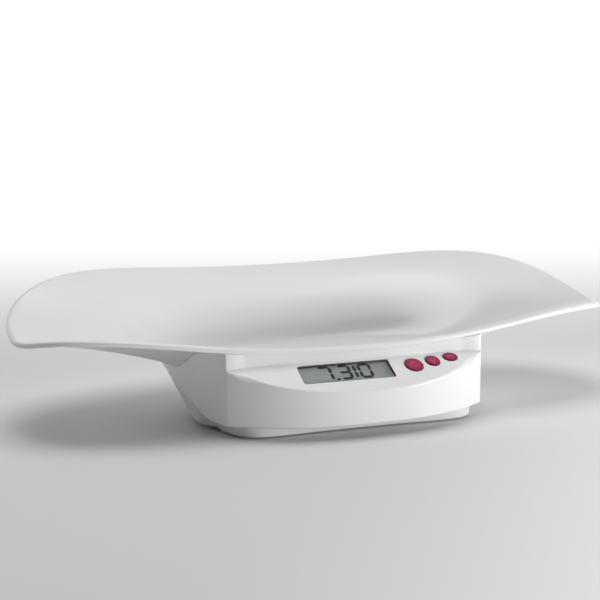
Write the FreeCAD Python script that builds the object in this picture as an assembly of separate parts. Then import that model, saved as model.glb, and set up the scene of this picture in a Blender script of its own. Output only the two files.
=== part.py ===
import FreeCAD, Part
import math, os

# Digital baby weighing scale.  Millimetres, +Z up, +X to the user's right,
# +Y away from the user.  Origin: middle of the foot plane (bounding box centre).

V = FreeCAD.Vector

# ---------------------------------------------------------------- dimensions
# tray (a shallow moulded dish with raised ends and a high far rim)
TRAY_A = 307.6          # half length of the rim crest
TRAY_Y0 = -7.6          # Y of the widest section
TRAY_B1, TRAY_M1 = 95.6, 2.85     # near half: depth and superellipse power
TRAY_B2, TRAY_M2 = 149.7, 2.5     # far half
TRAY_FLOOR = 51.5       # top of the flat floor
TRAY_T = 2.5            # wall thickness
TRAY_FULL = 0.15        # how much the dish's wall bulges over an even slope
RIM_PHI = [-90, -79, -68.4, -55.8, -45, -34.2, -21.6, 0, 19.2, 32.7, 45, 57.3, 70.8, 90]
RIM_Z = [79.3, 80.7, 84.6, 92.7, 96.9, 96.1, 92.1, 93.7, 106.4, 120.5, 129.5, 130.1, 125.5, 122.5]
LIP_OUT = 3.4           # how far the turned-down lip stands outside the crest
LIP_DROP = 5.5          # height of the turned-down lip

# console and body
CREASE_X, CREASE_Y = 131.0, -108.0
BOW = 37.5              # how far the front bows out between the creases
BOW_N = 2.5
WALL = 2.5
Z_BOT = 1.5             # underside of the tub
BODY_TOP = 87.5
# right-hand half of the side and rear outline at two heights
SIDE_Z0, SIDE_Z1 = 5.5, 47.5
SIDE0 = [(131, -108), (138, -90), (142.6, -72), (144.2, -55), (143.6, -38), (139.6, -18),
         (131.5, 5), (116, 30), (92, 51), (62, 65), (30, 72), (0, 74)]
SIDE1 = [(131, -108), (140.5, -86), (146.6, -66), (151, -44), (155, -20), (156.6, 4),
         (152, 32), (136, 58), (110, 77), (75, 89.5), (38, 95.5), (0, 97)]
SWEEP = [(-150, 12.5), (-112, 12.5), (-95, 12.8), (-80, 14.7), (-64, 19), (-48, 24), (-32, 28.3),
         (-17, 32.7), (-2, 37.5), (12, 41.8), (30, 44.9), (48, 45.8), (90, 46), (150, 46)]
PART_GAP = 0.15         # half of the parting gap between housing and tub
DECK_LO, DECK_HI = 46.1, 48.6
# right half of the set-back skirt under the front and the front corners
SKIRT = [(0, -117), (40, -117.6), (70, -119), (90, -119.6), (104, -118), (115, -112.5), (121.5, -103.5),
         (125, -93), (128, -84), (133, -77), (139, -70.5), (146, -64), (153, -57)]

# sloped control panel
PANEL_TILT = 27.83
PANEL_Y, PANEL_Z = -145.5, 44.35      # front edge of the panel plane
BAND_Y = -106.8                       # upright band between panel and tray rim
LCD_U, LCD_S, LCD_W, LCD_H = -16.2, 29.4, 92.5, 25.4
PANE_N, PANE_T, SEAL_T, LCD_T = -1.1, 1.2, 0.6, 2.8      # clear pane seated in a pocket behind the opening, seal, LCD glass
# name, x, distance up the slope, half width, half height (the last button is oval)
BUTTONS = [("power", 53.7, 30.3, 8.9, 8.9), ("tare", 74.9, 34.0, 7.0, 7.0), ("unit", 95.1, 37.5, 7.2, 5.5)]
BTN_CLEAR = 0.45
BTN_PROUD = 1.3
BOARD_POSTS = [(-72, 16), (-72, 43), (40, 14.5), (40, 44), (107.5, 41)]

# feet with one load cell each
FEET = [("front_left", -106, -70), ("front_right", 106, -70), ("rear_left", -78, 30), ("rear_right", 78, 30)]
FOOT_R, FOOT_HOLE = 15.5, 16.3
CELL_Z0, CELL_T, CELL_S = 9.5, 2.2, 34.0
HOUSING_BOSSES = [(-106, -22), (106, -22), (-58, -84), (58, -84), (-34, 57), (34, 57)]
TRAY_BOSSES = [(-88, -30), (88, -30), (-56, 40), (56, 40)]

# battery bay (4 AAA cells side by side)
BAY_Y = -20.0
CELL_R, CELL_L, CELL_PITCH = 5.25, 44.5, 11.5
DOOR_X, DOOR_Y0, DOOR_Y1 = 30.6, -46.1, 5.5
HINGE_Y, HINGE_Z, PIN_R = 4.9, 3.9, 1.0


# ------------------------------------------------------------------- helpers
def spline_table(xs, ys):
    """clamped cubic spline (zero slope at both ends) as a function"""
    n = len(xs)
    a = [0.0] * n; b = [0.0] * n; c = [0.0] * n; d = [0.0] * n
    h = [xs[i + 1] - xs[i] for i in range(n - 1)]
    b[0] = 2 * h[0]; c[0] = h[0]; d[0] = 6 * ((ys[1] - ys[0]) / h[0])
    for i in range(1, n - 1):
        a[i] = h[i - 1]; b[i] = 2 * (h[i - 1] + h[i]); c[i] = h[i]
        d[i] = 6 * ((ys[i + 1] - ys[i]) / h[i] - (ys[i] - ys[i - 1]) / h[i - 1])
    a[n - 1] = h[-1]; b[n - 1] = 2 * h[-1]; d[n - 1] = 6 * (-(ys[-1] - ys[-2]) / h[-1])
    for i in range(1, n):
        w = a[i] / b[i - 1]; b[i] -= w * c[i - 1]; d[i] -= w * d[i - 1]
    m = [0.0] * n
    m[-1] = d[-1] / b[-1]
    for i in range(n - 2, -1, -1):
        m[i] = (d[i] - c[i] * m[i + 1]) / b[i]

    def f(x):
        x = min(max(x, xs[0]), xs[-1])
        i = 0
        while i < n - 2 and x > xs[i + 1]:
            i += 1
        t0 = xs[i + 1] - x; t1 = x - xs[i]
        return (m[i] * t0 ** 3 + m[i + 1] * t1 ** 3) / (6 * h[i]) + \
            (ys[i] / h[i] - m[i] * h[i] / 6) * t0 + (ys[i + 1] / h[i] - m[i + 1] * h[i] / 6) * t1
    return f


rim_z = spline_table(RIM_PHI, RIM_Z)


def rim_xy(phi, rho=1.0, out=0.0):
    """plan point of the tray at polar angle phi (degrees), scaled by rho, moved out along the plan normal"""
    c, s = math.cos(math.radians(phi)), math.sin(math.radians(phi))
    B, m = (TRAY_B1, TRAY_M1) if s < 0 else (TRAY_B2, TRAY_M2)
    r = (abs(c) ** m + abs(s) ** m) ** (-1.0 / m)
    x, y = TRAY_A * r * c, B * r * s
    nx = (abs(x / TRAY_A) ** (m - 1)) / TRAY_A * (1 if x >= 0 else -1)
    ny = (abs(y / B) ** (m - 1)) / B * (1 if y >= 0 else -1)
    L = math.hypot(nx, ny)
    return x * rho + out * nx / L, TRAY_Y0 + y * rho + out * ny / L


RHO0 = 0.42


def rise(rho):
    """0 at the flat floor, 1 at the crest: a soft start, a full slope, an easing flare at the rim"""
    t = max(0.0, (rho - RHO0) / (1 - RHO0))
    k = 0.18
    soft = t * t / (2 * k) if t < k else t - k / 2
    w = min(1.0, t / 0.25)
    return soft / (1 - k / 2) + TRAY_FULL * math.sin(math.pi * t) * w * w * (3 - 2 * w)


def half_edge(pts, side):
    """one smooth edge through the points of half a ring, square to the middle plane"""
    vs = [V(side * p[0], p[1], p[2]) for p in pts]
    bs = Part.BSplineCurve()
    bs.interpolate(Points=vs, InitialTangent=V(side, 0, 0), FinalTangent=V(-side, 0, 0))
    return bs.toShape()


PHIS = [-90 + 4.5 * i for i in range(41)]


def ring(fn):
    pts = [fn(p) for p in PHIS]
    pts[0] = (0.0, pts[0][1], pts[0][2]); pts[-1] = (0.0, pts[-1][1], pts[-1][2])
    return [half_edge(pts, 1), half_edge(pts, -1)]


def dish_solid(rings, first_flat=True, last_flat=False, closed=False):
    """solid bounded by ruled bands between rings, with flat discs where asked"""
    faces = []
    for a, b in zip(rings[:-1], rings[1:]):
        for k in (0, 1):
            faces.append(Part.makeRuledSurface(a[k], b[k]))
    faces.append(Part.Face(Part.Wire(rings[0])))
    faces.append(Part.Face(Part.Wire(rings[-1])))
    comp = Part.Compound(faces)
    comp.sewShape(0.01)
    sh = comp.Shells[0] if comp.Shells else Part.Shell(comp.Faces)
    s = Part.Solid(sh)
    if s.Volume < 0:
        s.reverse()
    return s


def solid_fix(s):
    if s.ShapeType == "Compound" and len(s.Solids) == 1:
        s = s.Solids[0]
    return s


def box(x0, x1, y0, y1, z0, z1):
    return Part.makeBox(x1 - x0, y1 - y0, z1 - z0, V(x0, y0, z0))


def cyl(x, y, z0, z1, r):
    return Part.makeCylinder(r, z1 - z0, V(x, y, z0))


def oval(x, y, z0, z1, a, b):
    """upright prism on an ellipse with half axes a >= b along x and y"""
    if a - b < 1e-6:
        return cyl(x, y, z0, z1, a)
    e = Part.Ellipse(V(x, y, z0), a, b)
    return Part.Face(Part.Wire([e.toShape()])).extrude(V(0, 0, z1 - z0))


def prism_yz(pts, x0=-200.0, x1=200.0):
    """closed YZ polygon swept along X"""
    vs = [V(x0, p[0], p[1]) for p in pts]
    w = Part.makePolygon(vs + [vs[0]])
    return Part.Face(w).extrude(V(x1 - x0, 0, 0))


def rbox(w, h, z0, z1, r, cx=0.0, cy=0.0):
    """plate with rounded corners"""
    b = box(cx - w / 2, cx + w / 2, cy - h / 2, cy + h / 2, z0, z1)
    es = [e for e in b.Edges if abs(e.Vertexes[0].Point.x - e.Vertexes[1].Point.x) < 1e-6
          and abs(e.Vertexes[0].Point.y - e.Vertexes[1].Point.y) < 1e-6]
    return b.makeFillet(r, es)


def panel(shape):
    """place a shape made in panel coordinates (x, distance up the slope, height over the panel)"""
    s = shape.copy()
    s.Placement = FreeCAD.Placement(V(0, PANEL_Y, PANEL_Z), FreeCAD.Rotation(V(1, 0, 0), PANEL_TILT)).multiply(s.Placement)
    return s


def outer_pts(z):
    """right half of the side and rear outline at height z"""
    k = (z - SIDE_Z0) / (SIDE_Z1 - SIDE_Z0)
    return [(a[0] + (b[0] - a[0]) * k, a[1] + (b[1] - a[1]) * k) for a, b in zip(SIDE0, SIDE1)]


def bow_y(x, cx=CREASE_X, cy=CREASE_Y, b=BOW, n=BOW_N):
    return cy - b * (1 - min(1.0, abs(x / cx)) ** n)


def catmull(pts, n=12):
    out = []
    P = [(2 * pts[0][0] - pts[1][0], 2 * pts[0][1] - pts[1][1])] + list(pts) + [(-pts[-2][0], pts[-2][1])]
    for i in range(1, len(P) - 2):
        p0, p1, p2, p3 = P[i - 1], P[i], P[i + 1], P[i + 2]
        for k in range(n):
            t = k / n
            out.append(tuple(0.5 * ((2 * p1[j]) + (-p0[j] + p2[j]) * t + (2 * p0[j] - 5 * p1[j] + 4 * p2[j] - p3[j]) * t * t
                                    + (-p0[j] + 3 * p1[j] - 3 * p2[j] + p3[j]) * t ** 3) for j in (0, 1)))
    out.append(pts[-1])
    return out


def outline(z, inset=0.0):
    """(bow points left to right, side/rear points right to left) at height z, moved inwards by inset"""
    half = catmull(outer_pts(z))
    side = half + [(-x, y) for x, y in reversed(half[:-1])]
    bow = [(CREASE_X * (i / 40.0 - 1), bow_y(CREASE_X * (i / 40.0 - 1))) for i in range(81)]
    if inset == 0:
        return bow, side
    loop = bow[:-1] + side[:-1]
    n = len(loop)

    def seg_d(p):
        best = 1e9
        for i in range(n):
            a, b = loop[i], loop[(i + 1) % n]
            dx, dy = b[0] - a[0], b[1] - a[1]
            t = ((p[0] - a[0]) * dx + (p[1] - a[1]) * dy) / (dx * dx + dy * dy + 1e-12)
            t = min(1.0, max(0.0, t))
            best = min(best, math.hypot(a[0] + t * dx - p[0], a[1] + t * dy - p[1]))
        return best

    def shifted(pts):
        out = []
        for i, p in enumerate(pts):
            a = pts[max(0, i - 1)]; b = pts[min(len(pts) - 1, i + 1)]
            dx, dy = b[0] - a[0], b[1] - a[1]
            L = math.hypot(dx, dy)
            q = (p[0] - dy / L * inset, p[1] + dx / L * inset)
            if seg_d(q) > inset - 0.06:
                out.append(q)
        return out
    b2, s2 = shifted(bow), shifted(side)
    # corner where the two shifted curves cross
    ax, ay = b2[-1]; bx, by = s2[0]
    cx, cy = (ax + bx) / 2, (ay + by) / 2
    b2 = [(-cx, cy)] + b2[1:-1] + [(cx, cy)]
    s2 = [(cx, cy)] + s2[1:-1] + [(-cx, cy)]
    return b2, s2


def thin(pts, step):
    out = [pts[0]]
    for p in pts[1:-1]:
        if math.hypot(p[0] - out[-1][0], p[1] - out[-1][1]) >= step:
            out.append(p)
    if math.hypot(pts[-1][0] - out[-1][0], pts[-1][1] - out[-1][1]) < step * 0.5:
        out.pop()
    out.append(pts[-1])
    return out


def smooth_edge(pts, z):
    bs = Part.BSplineCurve()
    bs.interpolate([V(p[0], p[1], z) for p in pts])
    return bs.toShape()


def body_solid(z0, z1, inset):
    """tapered body between two heights"""
    def idx(z):
        b, s = outline(z, inset)
        return b, s
    b0, s0 = idx(z0); b1, s1 = idx(z1)

    def resample(pts, n):
        d = [0.0]
        for a, b in zip(pts[:-1], pts[1:]):
            d.append(d[-1] + math.hypot(b[0] - a[0], b[1] - a[1]))
        out = []; j = 0
        for i in range(n):
            t = d[-1] * i / (n - 1)
            while j < len(d) - 2 and d[j + 1] < t:
                j += 1
            k = (t - d[j]) / (d[j + 1] - d[j] + 1e-12)
            out.append((pts[j][0] + (pts[j + 1][0] - pts[j][0]) * k, pts[j][1] + (pts[j + 1][1] - pts[j][1]) * k))
        return out
    eb0, eb1 = smooth_edge(resample(b0, 31), z0), smooth_edge(resample(b1, 31), z1)
    es0, es1 = smooth_edge(resample(s0, 61), z0), smooth_edge(resample(s1, 61), z1)
    faces = [Part.makeRuledSurface(eb0, eb1), Part.makeRuledSurface(es0, es1),
             Part.Face(Part.Wire([eb0, es0])), Part.Face(Part.Wire([eb1, es1]))]
    comp = Part.Compound(faces); comp.sewShape(0.01)
    s = Part.Solid(comp.Shells[0])
    if s.Volume < 0:
        s.reverse()
    return s


def sweep_prism(dz, above):
    """space above or below the parting surface, moved by dz"""
    pts = [V(-200, y, z + dz) for y, z in SWEEP]
    bs = Part.BSplineCurve(); bs.interpolate(pts[1:])
    e1 = Part.makeLine(pts[0], pts[1]); e2 = bs.toShape()
    zz = 120.0 if above else -20.0
    a, b = V(-200, SWEEP[0][0], zz), V(-200, SWEEP[-1][0], zz)
    w = Part.Wire([e1, e2, Part.makeLine(pts[-1], b), Part.makeLine(b, a), Part.makeLine(a, pts[0])])
    return Part.Face(w).extrude(V(400, 0, 0))


def skirt_line(inset):
    """left-to-right line of the skirt, moved inwards by inset"""
    full = [(-x, y) for x, y in reversed(SKIRT[1:])] + SKIRT
    out = []
    for i, p in enumerate(full):
        a = full[max(0, i - 1)]; b = full[min(len(full) - 1, i + 1)]
        dx, dy = b[0] - a[0], b[1] - a[1]
        L = math.hypot(dx, dy)
        out.append((p[0] - dy / L * inset, p[1] + dx / L * inset))
    return out


def skirt_prism(inset, z0, z1):
    """plan region behind the set-back skirt"""
    pts = skirt_line(inset)
    e = smooth_edge(pts, z0)
    (ax, ay), (bx, by) = pts[0], pts[-1]
    a = [V(bx, by, z0), V(190, by + 30, z0), V(190, 150, z0), V(-190, 150, z0), V(-190, ay + 30, z0), V(ax, ay, z0)]
    es = [e] + [Part.makeLine(p, q) for p, q in zip(a[:-1], a[1:])]
    return Part.Face(Part.Wire(Part.__sortEdges__(es))).extrude(V(0, 0, z1 - z0))


def tube(points, r):
    """round lead: straight runs joined by tangent arcs"""
    P = [V(*p) for p in points]
    edges = []; cur = P[0]; radii = []
    for i in range(1, len(P) - 1):
        a, b, c = P[i - 1], P[i], P[i + 1]
        d1 = (b - a); d2 = (c - b); l1, l2 = d1.Length, d2.Length
        d1.normalize(); d2.normalize()
        ang = d1.getAngle(d2)
        cut = 0.45 * min(l1, l2)
        radii.append(cut / math.tan(ang / 2))
        p1 = b - d1 * cut; p3 = b + d2 * cut
        R = cut / math.tan(ang / 2)
        mid = (d2 - d1); mid.normalize()
        dist = R / math.cos(ang / 2) - R
        p2 = b + mid * dist
        edges.append(Part.LineSegment(cur, p1).toShape())
        edges.append(Part.Arc(p1, p2, p3).toShape())
        cur = p3
    edges.append(Part.LineSegment(cur, P[-1]).toShape())
    w = Part.Wire(edges)
    t = P[1] - P[0]; t.normalize()
    prof = Part.Wire([Part.Circle(P[0], t, r).toShape()])
    s = w.makePipeShell([prof], True, True)
    print("  lead r=%.1f length %.0f volume ratio %.3f smallest bend radius %.1f"
          % (r, w.Length, s.Volume / (math.pi * r * r * w.Length), min(radii)))
    return s


OUT = {}


def add(name, shape):
    OUT[name] = shape


# ---------------------------------------------------------------------- tray
def top_row(rho):
    return lambda p: rim_xy(p, rho) + (TRAY_FLOOR + (rim_z(p) - TRAY_FLOOR) * rise(rho),)


def lip_row(out, drop):
    return lambda p: rim_xy(p, 1.0, out) + (rim_z(p) - drop,)


def under_row(rho, extra=0.0):
    return lambda p: rim_xy(p, rho) + (TRAY_FLOOR + (rim_z(p) - TRAY_FLOOR) * rise(rho) - TRAY_T - extra,)


TOP_RHO = [0.42, 0.47, 0.52, 0.58, 0.66, 0.74, 0.82, 0.89, 0.95, 0.985]
rings = [ring(under_row(r)) for r in TOP_RHO[:-1]]
rings += [ring(lip_row(-2.4, 3.0)), ring(lip_row(0.9, 3.4)), ring(lip_row(1.3, LIP_DROP))]
rings += [ring(lip_row(LIP_OUT - 0.2, LIP_DROP)), ring(lip_row(LIP_OUT, LIP_DROP - 1.2)), ring(lip_row(LIP_OUT - 0.2, 1.9)),
          ring(lip_row(2.2, 0.6)), ring(lip_row(0.9, 0.08))]
rings += [ring(top_row(r)) for r in reversed(TOP_RHO)]
tray = dish_solid(rings)
for x, y in TRAY_BOSSES:
    tray = tray.fuse(cyl(x, y, DECK_HI, TRAY_FLOOR - TRAY_T + 0.6, 7.0)).fuse(cyl(x, y, DECK_LO + 0.15, DECK_HI + 0.5, 4.0))
    tray = tray.cut(cyl(x, y, DECK_LO - 1, TRAY_FLOOR - 1.5, 1.45))
add("tray", solid_fix(tray))

# space above the tray's underside, with a small gap, used to trim the housing
tool_rings = [ring(under_row(r, 0.4)) for r in (0.42, 0.47, 0.52, 0.58, 0.66, 0.74, 0.82, 0.90, 0.96)]
tool_rings += [ring(lambda p: rim_xy(p, 1.0, 0.0) + (rim_z(p) - LIP_DROP - 0.35,)),
               ring(lambda p: rim_xy(p, 1.0, 14.0) + (rim_z(p) - LIP_DROP - 0.35,)),
               ring(lambda p: rim_xy(p, 1.0, 14.2) + (152.0,))]
tray_tool = dish_solid(tool_rings)

# ------------------------------------------------------------ console housing
body = body_solid(Z_BOT, BODY_TOP, 0.0)
inner = body_solid(-2.0, BODY_TOP + 2, WALL)
ct, st, tt = math.cos(math.radians(PANEL_TILT)), math.sin(math.radians(PANEL_TILT)), math.tan(math.radians(PANEL_TILT))


def pz(y, n=0.0):
    """height of the plane n over the panel at Y"""
    return PANEL_Z + (y - PANEL_Y) * tt + n / ct


zone_top = prism_yz([(-160, -5), (-160, pz(-160)), (BAND_Y, pz(BAND_Y)), (BAND_Y + 0.8, 96.5), (-12, 96.5), (40, DECK_HI), (160, DECK_HI), (160, -5)])
yc = PANEL_Y + (64.0 - PANEL_Z + WALL / ct) / tt
cavity = inner.common(prism_yz([(-160, -5), (-160, pz(-160, -WALL)), (yc, 64.0), (-90, 64.0), (-90, DECK_LO), (160, DECK_LO), (160, -5)]))
pocket = inner.common(prism_yz([(BAND_Y + 2.9, 120), (BAND_Y + 2.6, 66.3), (-87.6, 66.3), (-87.6, DECK_HI), (160, DECK_HI), (160, 120)]))
house = body.common(zone_top).cut(cavity).cut(pocket).cut(tray_tool)
house = house.common(sweep_prism(PART_GAP, True))
# ledge that closes the housing's bottom edge over the set-back skirt
ledge = body.common(sweep_prism(PART_GAP, True)).cut(sweep_prism(PART_GAP + 2.0, True)).cut(skirt_prism(6.0, 0, 60))
ledge = ledge.common(box(-200, 200, -160, -45, 0, 40))
house = house.fuse(ledge)
# display opening and button holes
house = house.cut(panel(rbox(LCD_W, LCD_H, -6, 6, 2.2, LCD_U, LCD_S)))
house = house.cut(panel(rbox(98.4, 31.0, -6, PANE_N, 1.7, LCD_U, LCD_S)))
for nm, u, s, a, b in BUTTONS:
    house = house.cut(panel(oval(u, s, -8, 6, a + BTN_CLEAR, b + BTN_CLEAR)))
for u, s in BOARD_POSTS:
    house = house.fuse(panel(cyl(u, s, -10.0, -1.5, 2.6)).common(box(-200, 200, -160, -80, 0, 65.0)))
    house = house.cut(panel(cyl(u, s, -10.5, -3.4, 0.95)))
for x, y in HOUSING_BOSSES:
    house = house.fuse(cyl(x, y, 14.15, DECK_LO + 0.8, 4.2))
    house = house.cut(cyl(x, y, 14.0, 30.0, 1.45))
for x, y in TRAY_BOSSES:
    house = house.cut(cyl(x, y, DECK_LO - 1, DECK_HI + 1, 4.3))
sol = sorted(house.Solids, key=lambda q: -q.Volume)
print("housing solids", [round(q.Volume, 1) for q in sol])
house = sol[0]
add("console_housing", house)

# ------------------------------------------------------------------ base tub
tub = body.common(sweep_prism(-PART_GAP, False)).common(skirt_prism(0.0, -5, 60))
tub = tub.cut(inner.common(skirt_prism(WALL, Z_BOT + 2.5, 70)))
by0, by1 = BAY_Y - 23.2, BAY_Y + 23.2
tub = tub.fuse(box(-36, 36, -51, 11, Z_BOT, 6.5))
tub = tub.fuse(box(-29.1, 29.1, by0 - 1.6, by1 + 1.6, 6.0, 18.0))
tub = tub.cut(box(-27.5, 27.5, by0, by1, 1.0, 16.4))
tub = tub.cut(box(-DOOR_X - 0.4, DOOR_X + 0.4, -46.5, 6.5, 1.0, 4.9))
tub = tub.cut(box(-DOOR_X - 0.4, DOOR_X + 0.4, 3.0, 6.9, 1.0, 5.7))
for s in (-1, 1):
    pin = Part.makeCylinder(PIN_R + 0.08, 3.4, V(s * (DOOR_X + 0.2), HINGE_Y, HINGE_Z), V(s, 0, 0))
    tub = tub.cut(pin)
tub = tub.cut(rbox(16, 6, 1.0, 3.2, 1.5, 0, -48.5))
for nm, x, y in FEET:
    tub = tub.fuse(cyl(x, y, Z_BOT, CELL_Z0, 19.0))
    tub = tub.cut(cyl(x, y, 0, CELL_Z0 + 1, FOOT_HOLE + 0.6)).fuse(
        cyl(x, y, Z_BOT, Z_BOT + 2.5, 19.0).cut(cyl(x, y, 0, 9, FOOT_HOLE)))
    for sx, sy in ((-1, 1), (1, -1)):
        tub = tub.fuse(cyl(x + 13.4 * sx, y + 13.4 * sy, Z_BOT + 1.5, CELL_Z0, 2.3).cut(cyl(x, y, 0, 12, FOOT_HOLE + 0.2)))
        tub = tub.cut(cyl(x + 13.4 * sx, y + 13.4 * sy, 4.5, CELL_Z0 + 1, 0.98))
for x, y in HOUSING_BOSSES:
    tub = tub.fuse(cyl(x, y, Z_BOT, 13.85, 4.6))
    tub = tub.cut(cyl(x, y, 0, 8.0, 3.2)).cut(cyl(x, y, 7, 15, 1.7))
sol = sorted(tub.Solids, key=lambda q: -q.Volume)
print("tub solids", [round(q.Volume, 1) for q in sol])
tub = sol[0]
add("base_tub", tub)

# ------------------------------------------------------- display and its board
n1 = PANE_N - PANE_T
n2 = n1 - SEAL_T
n3 = n2 - LCD_T
add("display_window", panel(rbox(98, 30.6, n1, PANE_N, 1.5, LCD_U, LCD_S)))
add("display_gasket", panel(rbox(95.6, 28.6, n2, n1, 1.0, LCD_U, LCD_S).cut(rbox(91.5, 24.6, n2 - 1, n1 + 1, 1.0, LCD_U, LCD_S))))
add("lcd_panel", panel(rbox(96, 29, n3, n2, 0.6, LCD_U, LCD_S)))
hold = rbox(100.4, 33.0, -10.0, -2.6, 1.2, LCD_U, LCD_S).cut(rbox(96.3, 29.3, n3, -2.0, 0.5, LCD_U, LCD_S)).cut(
    rbox(88, 21, -11, n3 + 0.1, 0.8, LCD_U, LCD_S))
add("lcd_holder", panel(hold))
add("lcd_connector", panel(box(LCD_U - 41, LCD_U + 41, LCD_S + 6.6, LCD_S + 9.6, -10.0, n3)))
bp = [(-76, 11.5), (44, 11.5), (58, 19), (84, 26), (111.5, 33), (111.5, 45.5), (-76, 47)]
bf = Part.Face(Part.makePolygon([V(p[0], p[1], -11.6) for p in bp] + [V(bp[0][0], bp[0][1], -11.6)]))
board = bf.extrude(V(0, 0, 1.6))
for u, s in BOARD_POSTS:
    board = board.cut(cyl(u, s, -13, -9, 1.2))
add("main_board", panel(board))
comps = [box(-22, -10, 24, 36, -13.1, -11.6), box(-40, -34, 30, 35, -13.0, -11.6), box(-58, -53, 22, 33, -15.0, -11.6),
         cyl(12, 36, -19.0, -11.6, 3.0), box(-6, 4, 14, 20, -17.4, -11.6), box(8, 16, 14, 20, -17.4, -11.6), box(20, 32, 14, 20, -17.4, -11.6),
         cyl(66, 36, -15.6, -11.6, 4.4)]
add("board_components", Part.Compound([panel(c) for c in comps]))
sw = []
for nm, u, s, a, b in BUTTONS:
    sw.append(panel(box(u - 3.1, u + 3.1, s - 3.1, s + 3.1, -10.0, -7.2).cut(cyl(u, s, -9.6, -7, 1.68))))
add("switch_bodies", Part.Compound(sw))
for nm, u, s, a, b in BUTTONS:
    cap = oval(u, s, -2.9, BTN_PROUD, a, b)
    cap = cap.makeFillet(0.7, [e for e in cap.Edges if e.Closed and abs(e.CenterOfMass.z - BTN_PROUD) < 1e-3])
    cap = cap.fuse(oval(u, s, -4.1, -2.9, a + 1.3, b + 1.3)).fuse(cyl(u, s, -6.2, -4.1, 1.6))
    cap = cap.cut(oval(u, s, -4.6, -1.4, a - 1.6, b - 1.6).cut(cyl(u, s, -6, 0, 2.6)))
    add(nm + "_button", panel(cap))
    add(nm + "_switch_plunger", panel(cyl(u, s, -8.6, -6.2, 1.6)))
scr = []
for u, s in BOARD_POSTS:
    scr.append(panel(cyl(u, s, -11.6, -4.0, 0.9).fuse(cyl(u, s, -13.0, -11.6, 2.0))))
add("board_screws", Part.Compound(scr))

# ------------------------------------------------------------------ battery bay
door = box(-DOOR_X, DOOR_X, DOOR_Y0, DOOR_Y1, 2.6, 4.6)
door = door.cut(rbox(14, 3.0, 2.0, 3.4, 1.2, 0, -43.0))
for x in (-8.0, 7.0):          # slits that free the snap tongue
    door = door.cut(box(x, x + 1.0, DOOR_Y0 - 1, DOOR_Y0 + 9, 2, 5))
for x in (-18, 0, 18):
    door = door.fuse(box(x - 0.6, x + 0.6, -40, -2, 4.4, 4.95))
for s in (-1, 1):
    door = door.fuse(Part.makeCylinder(PIN_R, 3.2, V(s * (DOOR_X - 0.3), HINGE_Y, HINGE_Z), V(s, 0, 0)))
add("battery_door", solid_fix(door))
bats, springs, plates = [], [], []
zc = 4.95 + 0.35 + CELL_R
for i in range(4):
    y = BAY_Y + (i - 1.5) * CELL_PITCH
    sgn = 1 if i % 2 == 0 else -1
    b = Part.makeCylinder(CELL_R, CELL_L - 1.0, V(-sgn * (CELL_L / 2), y, zc), V(sgn, 0, 0))
    b = b.fuse(Part.makeCylinder(1.9, 1.0, V(sgn * (CELL_L / 2 - 1.0), y, zc), V(sgn, 0, 0)))
    bats.append(b)
    # coned contact spring behind the flat end
    x0 = -sgn * (CELL_L / 2)
    cone = Part.makeCone(2.2, 3.4, 3.9, V(x0, y, zc), V(-sgn, 0, 0))
    cone = cone.cut(Part.makeCone(1.4, 2.6, 3.9, V(x0, y, zc), V(-sgn, 0, 0)))
    springs.append(cone)
    xp = -sgn * (CELL_L / 2 + 3.9)
    plates.append(box(min(xp, xp - sgn * 0.5), max(xp, xp - sgn * 0.5), y - 4.6, y + 4.6, zc - 4.4, zc + 4.4))
    x1 = sgn * (CELL_L / 2)
    plates.append(box(min(x1, x1 + sgn * 0.5), max(x1, x1 + sgn * 0.5), y - 4.6, y + 4.6, zc - 4.4, zc + 4.4))
add("batteries", Part.Compound(bats))
add("battery_springs", Part.Compound(springs))
add("battery_contacts", Part.Compound(plates))

# ------------------------------------------------------- feet and load cells
cell_scr = []
for nm, x, y in FEET:
    pl = rbox(CELL_S, CELL_S, CELL_Z0, CELL_Z0 + CELL_T, 4.0, x, y)
    # the strain-gauge tongue is freed by a C-shaped slot
    slot = box(x - 11, x + 11, y - 10.5, y + 10.5, CELL_Z0 - 1, CELL_Z0 + CELL_T + 1).cut(
        box(x - 8.6, x + 8.6, y - 8.1, y + 11.5, CELL_Z0 - 2, CELL_Z0 + CELL_T + 2))
    pl = pl.cut(slot)
    for sx, sy in ((-1, 1), (1, -1)):
        pl = pl.cut(cyl(x + 13.4 * sx, y + 13.4 * sy, CELL_Z0 - 1, CELL_Z0 + CELL_T + 1, 1.15))
        cell_scr.append(cyl(x + 13.4 * sx, y + 13.4 * sy, 5.0, CELL_Z0 + CELL_T, 0.93).fuse(
            cyl(x + 13.4 * sx, y + 13.4 * sy, CELL_Z0 + CELL_T, CELL_Z0 + CELL_T + 1.3, 1.9)))
    add(nm + "_load_cell", solid_fix(pl))
    cup = cyl(x, y, 1.6, 6.4, FOOT_R).cut(cyl(x, y, 3.6, 7, FOOT_R - 1.8)).fuse(cyl(x, y, 3.4, CELL_Z0, 5.0))
    add(nm + "_foot_cup", solid_fix(cup))
    pad = cyl(x, y, 0.0, 1.6, 13.5)
    pad = pad.makeFillet(0.5, [e for e in pad.Edges if e.Closed and abs(e.CenterOfMass.z) < 1e-3])
    add(nm + "_foot_pad", pad)
add("load_cell_screws", Part.Compound(cell_scr))

hs = []
for x, y in HOUSING_BOSSES:
    hs.append(cyl(x, y, 6.2, 8.0, 2.9).fuse(cyl(x, y, 8.0, 27.0, 1.4)))
add("housing_screws", Part.Compound(hs))
ts, tw = [], []
for x, y in TRAY_BOSSES:
    tw.append(cyl(x, y, DECK_LO - 1.1, DECK_LO, 6.5).cut(cyl(x, y, 44, 47, 1.6)))
    ts.append(cyl(x, y, DECK_LO - 2.8, DECK_LO - 1.1, 3.0).fuse(cyl(x, y, DECK_LO - 1.1, 49.7, 1.4)))
add("tray_screws", Part.Compound(ts))
add("tray_washers", Part.Compound(tw))

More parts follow.
